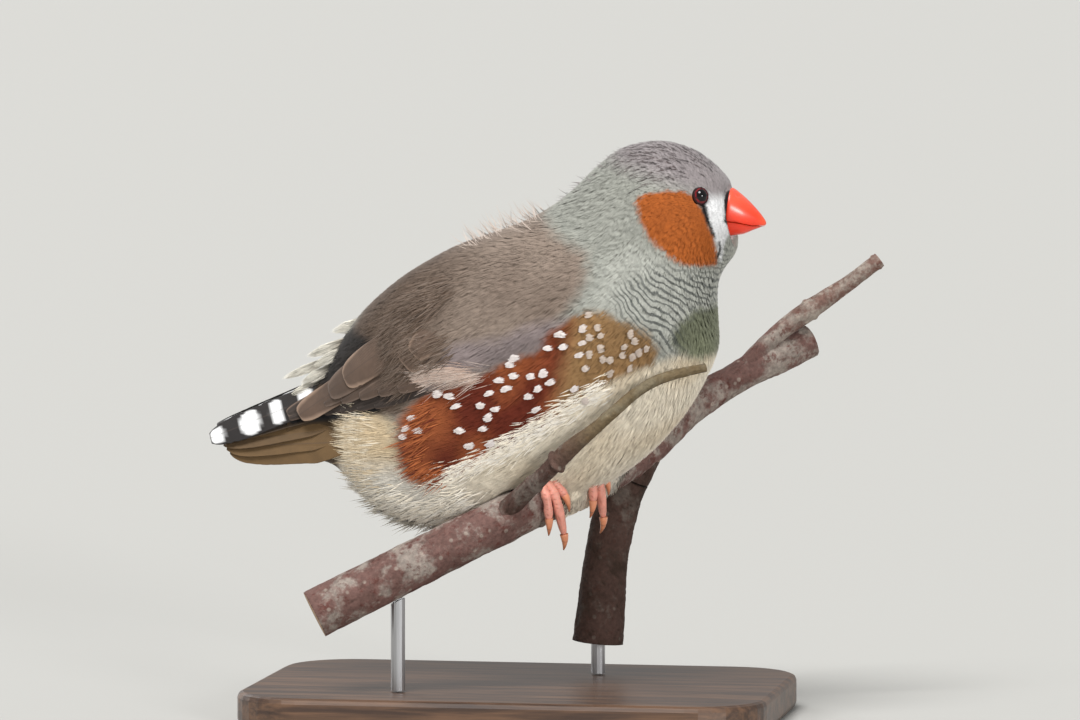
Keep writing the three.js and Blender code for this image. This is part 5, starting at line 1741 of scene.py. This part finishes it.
def joined_mesh(name, meshes):
    """One mesh from several, with their stored values."""
    pieces = [bpy.data.objects.new("part", mesh) for mesh in meshes]
    for piece in pieces:
        scene.collection.objects.link(piece)
    with bpy.context.temp_override(active_object=pieces[0], selected_editable_objects=pieces):
        bpy.ops.object.join()
    mesh = pieces[0].data
    bpy.data.objects.remove(pieces[0])
    mesh.name = name
    return mesh


print("a toe's bar has", TOE_SIDES, "sides and", TOE_RINGS, "rings")

# %% [markdown]
# Each foot has three toes forward and one back, all wound round the branch. The top of a toe
# is covered by scutes, plates like roof tiles, so rings with a sharp lower edge are raised on
# it, and the groove between two rings is stored for painted shade in it. Claws are horn,
# curved and tapered to a point, and are a separate piece.

# %% Feet
SCUTES_PER_TOE, SCUTE_HEIGHT = 13, 0.05
SCUTES_PER_LEG = 7
GROOVE_SHADE_AMOUNT = 0.8
TOE_JOINTS, JOINT_SWELL, JOINT_LENGTH = (0.34, 0.62, 0.88), 0.15, 0.06
# The groove red is painted shade in the creases between scutes.
TOE_PINK, GROOVE_SHADE_RED = rgba(216, 146, 128), rgba(150, 78, 62)
CLAW_TAN, CLAW_TIP = rgba(214, 140, 104), rgba(176, 112, 80)
foot_finish, tree, shader, place = finish("foot_skin", 0.5, Subsurface_Weight=0.15, Subsurface_Scale=0.001)
colour = tinted(tree, TOE_PINK, place, 700.0, 0.80, 1.14)
# Painted shade: the grooves between scutes are painted a darker red.
painted(tree, shader, mix(tree, times(tree, stored(tree, "groove"), 0.85), colour, GROOVE_SHADE_RED))
pebbles = node(tree, "TexVoronoi", Vector=place, Scale=3600.0).outputs["Distance"]
bump(tree, shader, pebbles, 0.35, 0.05)
claw_finish, tree, shader, place = finish("claw_horn", 0.35, Coat_Weight=0.2)
colour = mix(tree, stored(tree, "groove"), CLAW_TAN, CLAW_TIP)
painted(tree, shader, tinted(tree, colour, place, 900.0, 0.9, 1.1))


def limb_mesh(name, sides, rings, limb, groove, swell=lambda share, turn: (0.0, 1.0)):
    """A bar bent along a limb. Groove gives the value that its finish reads."""
    mesh, share, turn = bar_mesh(name, sides, rings)
    move_to(mesh, on_limb(limb, share, turn, *swell(share, turn)))
    store(mesh, "groove", groove(share))
    outwards(mesh)
    return mesh


# Where the painted shade of a groove lies, at each scute's edge.
def toe_groove(share):
    tile = (share * SCUTES_PER_TOE) % 1
    return (1 - smooth(np.abs(tile - 0.02), 0.0, 0.16)) * GROOVE_SHADE_AMOUNT


def toe_swell(share, turn):
    """The raised scutes on a toe's top, its thicker joints and its blunt end."""
    scutes = SCUTE_HEIGHT * ((share * SCUTES_PER_TOE) % 1) * (np.cos(turn) > -0.2)
    joints = 0.94 + sum(JOINT_SWELL * np.exp(-(((share - at) / JOINT_LENGTH) ** 2)) for at in TOE_JOINTS)
    blunt = np.sqrt(np.clip(1 - ((share - 0.93) / 0.0701).clip(0) ** 2, 0.02, 1))
    return scutes, joints * blunt


for foot_name, (foot_share, ankle) in FEET.items():
    lines = [toe_line(foot_share, toe) for toe in TOES]
    toes = [limb_mesh("toe", TOE_SIDES, TOE_RINGS, toe, toe_groove, toe_swell) for toe, _ in lines]
    claws = [limb_mesh("claw", 12, 20, claw, lambda share: smooth(share, 0.3, 1.0)) for _, claw in lines]
    centre, up, _, wood = limb_at(BRANCH, foot_share)
    heel = centre + up * (wood + TOE_RADIUS + GAP)
    leg_rows = [(*(heel - up * 0.2), 1.25), (*(heel * 0.6 + np.array(ankle) * 0.4), 1.0), (*ankle, 1.2)]
    # The leg's scute grooves carry the same painted shade.
    leg = limb_mesh("leg", 16, 24, leg_rows,
                    lambda share: (1 - smooth((share * SCUTES_PER_LEG) % 1, 0.0, 0.14)) * GROOVE_SHADE_AMOUNT)
    in_material("toes_" + foot_name, joined_mesh("toes_" + foot_name, toes + [leg]), foot_finish, "foot",
                "foot_" + foot_name)
    in_material("claws_" + foot_name, joined_mesh("claws_" + foot_name, claws), claw_finish, "foot")
print("feet", list(FEET))

# %% [markdown]
# The bark is old and uneven: reddish brown, with a grey crust in patches, dark flakes and
# small raised pores. The thin twig is younger and turns olive towards its end. Its hollows and
# cracks are painted darker, as painted shade. Colour and fine relief are in the finish, and the
# cut ends show the pale wood.

# %% The bark's finish
BARK_BROWN, CRUST_GREY, FLAKE_RED = rgba(112, 84, 78), rgba(152, 141, 132), rgba(92, 50, 44)
PORE_PALE, YOUNG_OLIVE, BARK_DARK = rgba(176, 164, 152), rgba(108, 97, 66), rgba(52, 38, 30)
bark, tree, shader, place = finish("bark", 0.88, Specular_IOR_Level=0.25)
crust = cloudy(tree, place, 150.0, 6.0, Roughness=0.65)
flakes = cloudy(tree, place, 620.0, 4.0, Roughness=0.7)
pores = node(tree, "TexVoronoi", Vector=place, Scale=420.0).outputs["Distance"]
colour = mix(tree, remap(tree, crust, 0.47, 0.60), BARK_BROWN, CRUST_GREY)
colour = mix(tree, remap(tree, flakes, 0.52, 0.68, 0.0, 0.8), colour, FLAKE_RED)
colour = mix(tree, remap(tree, pores, 0.10, 0.22, 0.55, 0.0), colour, PORE_PALE)
colour = mix(tree, stored(tree, "olive"), colour, YOUNG_OLIVE)
# The stored shade holds how dark each limb is set, plus painted shade in the bark's hollows.
colour = mix(tree, stored(tree, "shade"), colour, BARK_DARK)
painted(tree, shader, tinted(tree, colour, place, 1500.0, 0.78, 1.2))
bump(tree, shader, minus(tree, flakes, times(tree, pores, 0.5)), 0.9, 0.35)
cut_wood, tree, shader, place = finish("cut_wood", 0.75)
WOOD_PALE, WOOD_DARK = rgba(196, 164, 128), rgba(150, 116, 86)
painted(tree, shader, mix(tree, cloudy(tree, place, 900.0, 4.0), WOOD_PALE, WOOD_DARK))
print("finishes", bark.name, "and", cut_wood.name)

# %% [markdown]
# The bark's lumps and its cracks along the limb are in the mesh, so that the outline is uneven
# too. They stay inward, so that pieces keep clear of each other. Only the knots stand out,
# where side shoots once grew. The cut ends are the bar's own end faces, and stay flat.

# %% Bark
LIMBS = [
    # name, limb, sides, rings, depth of its lumps, how dark, how olive towards its end, and its
    # knots: share of the length, height, reach
    ("branch", BRANCH, 72, 230, 0.55, 0.12, 0.0, [(0.31, 0.3, 0.9), (0.88, 0.25, 0.8)]),
    ("stem", STEM, 60, 110, 0.65, 0.75, 0.0, [(0.55, 0.3, 1.2)]),
    ("shoot", SHOOT, 44, 120, 0.30, 0.15, 0.1, [(0.62, 0.35, 0.7), (0.97, 0.2, 0.5)]),
    ("twig", TWIG, 40, 160, 0.26, 0.62, 0.75, [(0.37, 1.0, 0.55), (0.08, 0.5, 0.6), (0.24, 0.35, 0.4)]),
]
POINT_SPACING = 10
INTO_BRANCH = 0.6


def bark_relief(points, turn, share, depth):
    """How far the bark is raised, always below zero by its depth at the most."""
    values = []
    for point in points.tolist():
        broad = noise.noise(Vector(point) * 0.16)
        fine = noise.fractal(Vector(point) * 0.55, 0.8, 2.2, 4)
        values.append(0.55 * broad + 0.4 * fine)
    cracks = np.abs(np.sin(3 * turn + 5 * np.sin(9 * share) + 2 * np.array(values)))
    raised = np.array(values) - 0.5 * np.exp(-((cracks / 0.10) ** 2))
    return depth * np.clip(raised * 0.5 - 0.4, -1, 0.12)


for limb_name, limb, sides, rings, depth, dark, olive, knots in LIMBS:
    mesh, share, turn = bar_mesh(limb_name + "_bark", sides, rings)
    raised = bark_relief(on_limb(limb, share, turn), turn, share, depth)
    for at, height, reach in knots:
        away = np.abs(share - at) * POINT_SPACING * len(limb) / reach
        raised += height * np.exp(-away**2) * (0.6 + 0.4 * np.cos(2 * turn + at * 20))
    surface = on_limb(limb, share, turn, raised)
    if limb_name != "branch":
        surface = clear_of(surface, sampled(BRANCH, 160), -INTO_BRANCH)
    move_to(mesh, surface)
    upper = smooth(share, 0.3, 0.6) * (olive > 0)
    # Painted shade: the hollows and cracks between the bark's lumps are painted darker, on top of how dark
    # each limb is set.
    deep = smooth(-raised, 0.25 * depth, depth)
    store(mesh, "shade", np.clip(dark * (1 - 0.75 * upper) + 0.5 * deep, 0, 1))
    store(mesh, "olive", olive * upper)
    outwards(mesh)
    in_material(limb_name + "_bark", mesh, bark, "bark", "perch_" + limb_name)
    mesh.materials.append(cut_wood)
    for face in mesh.polygons:
        if len(face.vertices) > 4:
            face.material_index = 1
            face.use_smooth = False
print("bark on", [row[0] for row in LIMBS])

# %% [markdown]
# The stand isn't part of the bird's world, so it stays quiet: a dark oiled board and two
# satin steel rods. They are the frame's own pieces, and only get a finish.

# %% Stand
BOARD_DARK, BOARD_BROWN, FIBRE_BLACK = rgba(62, 44, 34), rgba(104, 76, 56), rgba(40, 28, 22)
STEEL_GREY, STEEL_PALE = rgba(168, 168, 170), rgba(196, 196, 198)
GRAIN_STRETCH, FIBRE_STRETCH = (12.0, 150.0, 150.0), (60.0, 1800.0, 1800.0)
BRUSH_STRETCH = (4000.0, 4000.0, 120.0)


def stretched(tree, place, scale):
    """A place on a grid that is finer across the grain than along it."""
    return node(tree, "Mapping", Vector=place, Scale=scale).outputs[0]


board, tree, shader, place = finish("oiled_wood", 0.42, Coat_Weight=0.15, Coat_Roughness=0.3)
grain = cloudy(tree, stretched(tree, place, GRAIN_STRETCH), 3.0, 8.0, Roughness=0.6, Distortion=0.6)
fibre = cloudy(tree, stretched(tree, place, FIBRE_STRETCH), 1.0, 3.0)
colour = mix(tree, remap(tree, grain, 0.35, 0.65), BOARD_DARK, BOARD_BROWN)
painted(tree, shader, mix(tree, remap(tree, fibre, 0.35, 0.7, 0.0, 0.4), colour, FIBRE_BLACK))
bump(tree, shader, fibre, 0.2, 0.05)
steel, tree, shader, place = finish("satin_steel", 0.34, Metallic=1.0)
brush = cloudy(tree, stretched(tree, place, BRUSH_STRETCH), 1.0)
painted(tree, shader, mix(tree, brush, STEEL_GREY, STEEL_PALE))
bump(tree, shader, brush, 0.1, 0.02)
for node_name, material in (("stand_base", board), ("stand_rod_branch", steel), ("stand_rod_stem", steel)):
    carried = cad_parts[node_name]
    if not carried.data.materials:
        carried.data.materials.append(None)
    for material_slot in carried.material_slots:
        material_slot.link = "OBJECT"
        material_slot.material = material
print("stand of", sum(name.startswith("stand_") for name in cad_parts), "pieces")
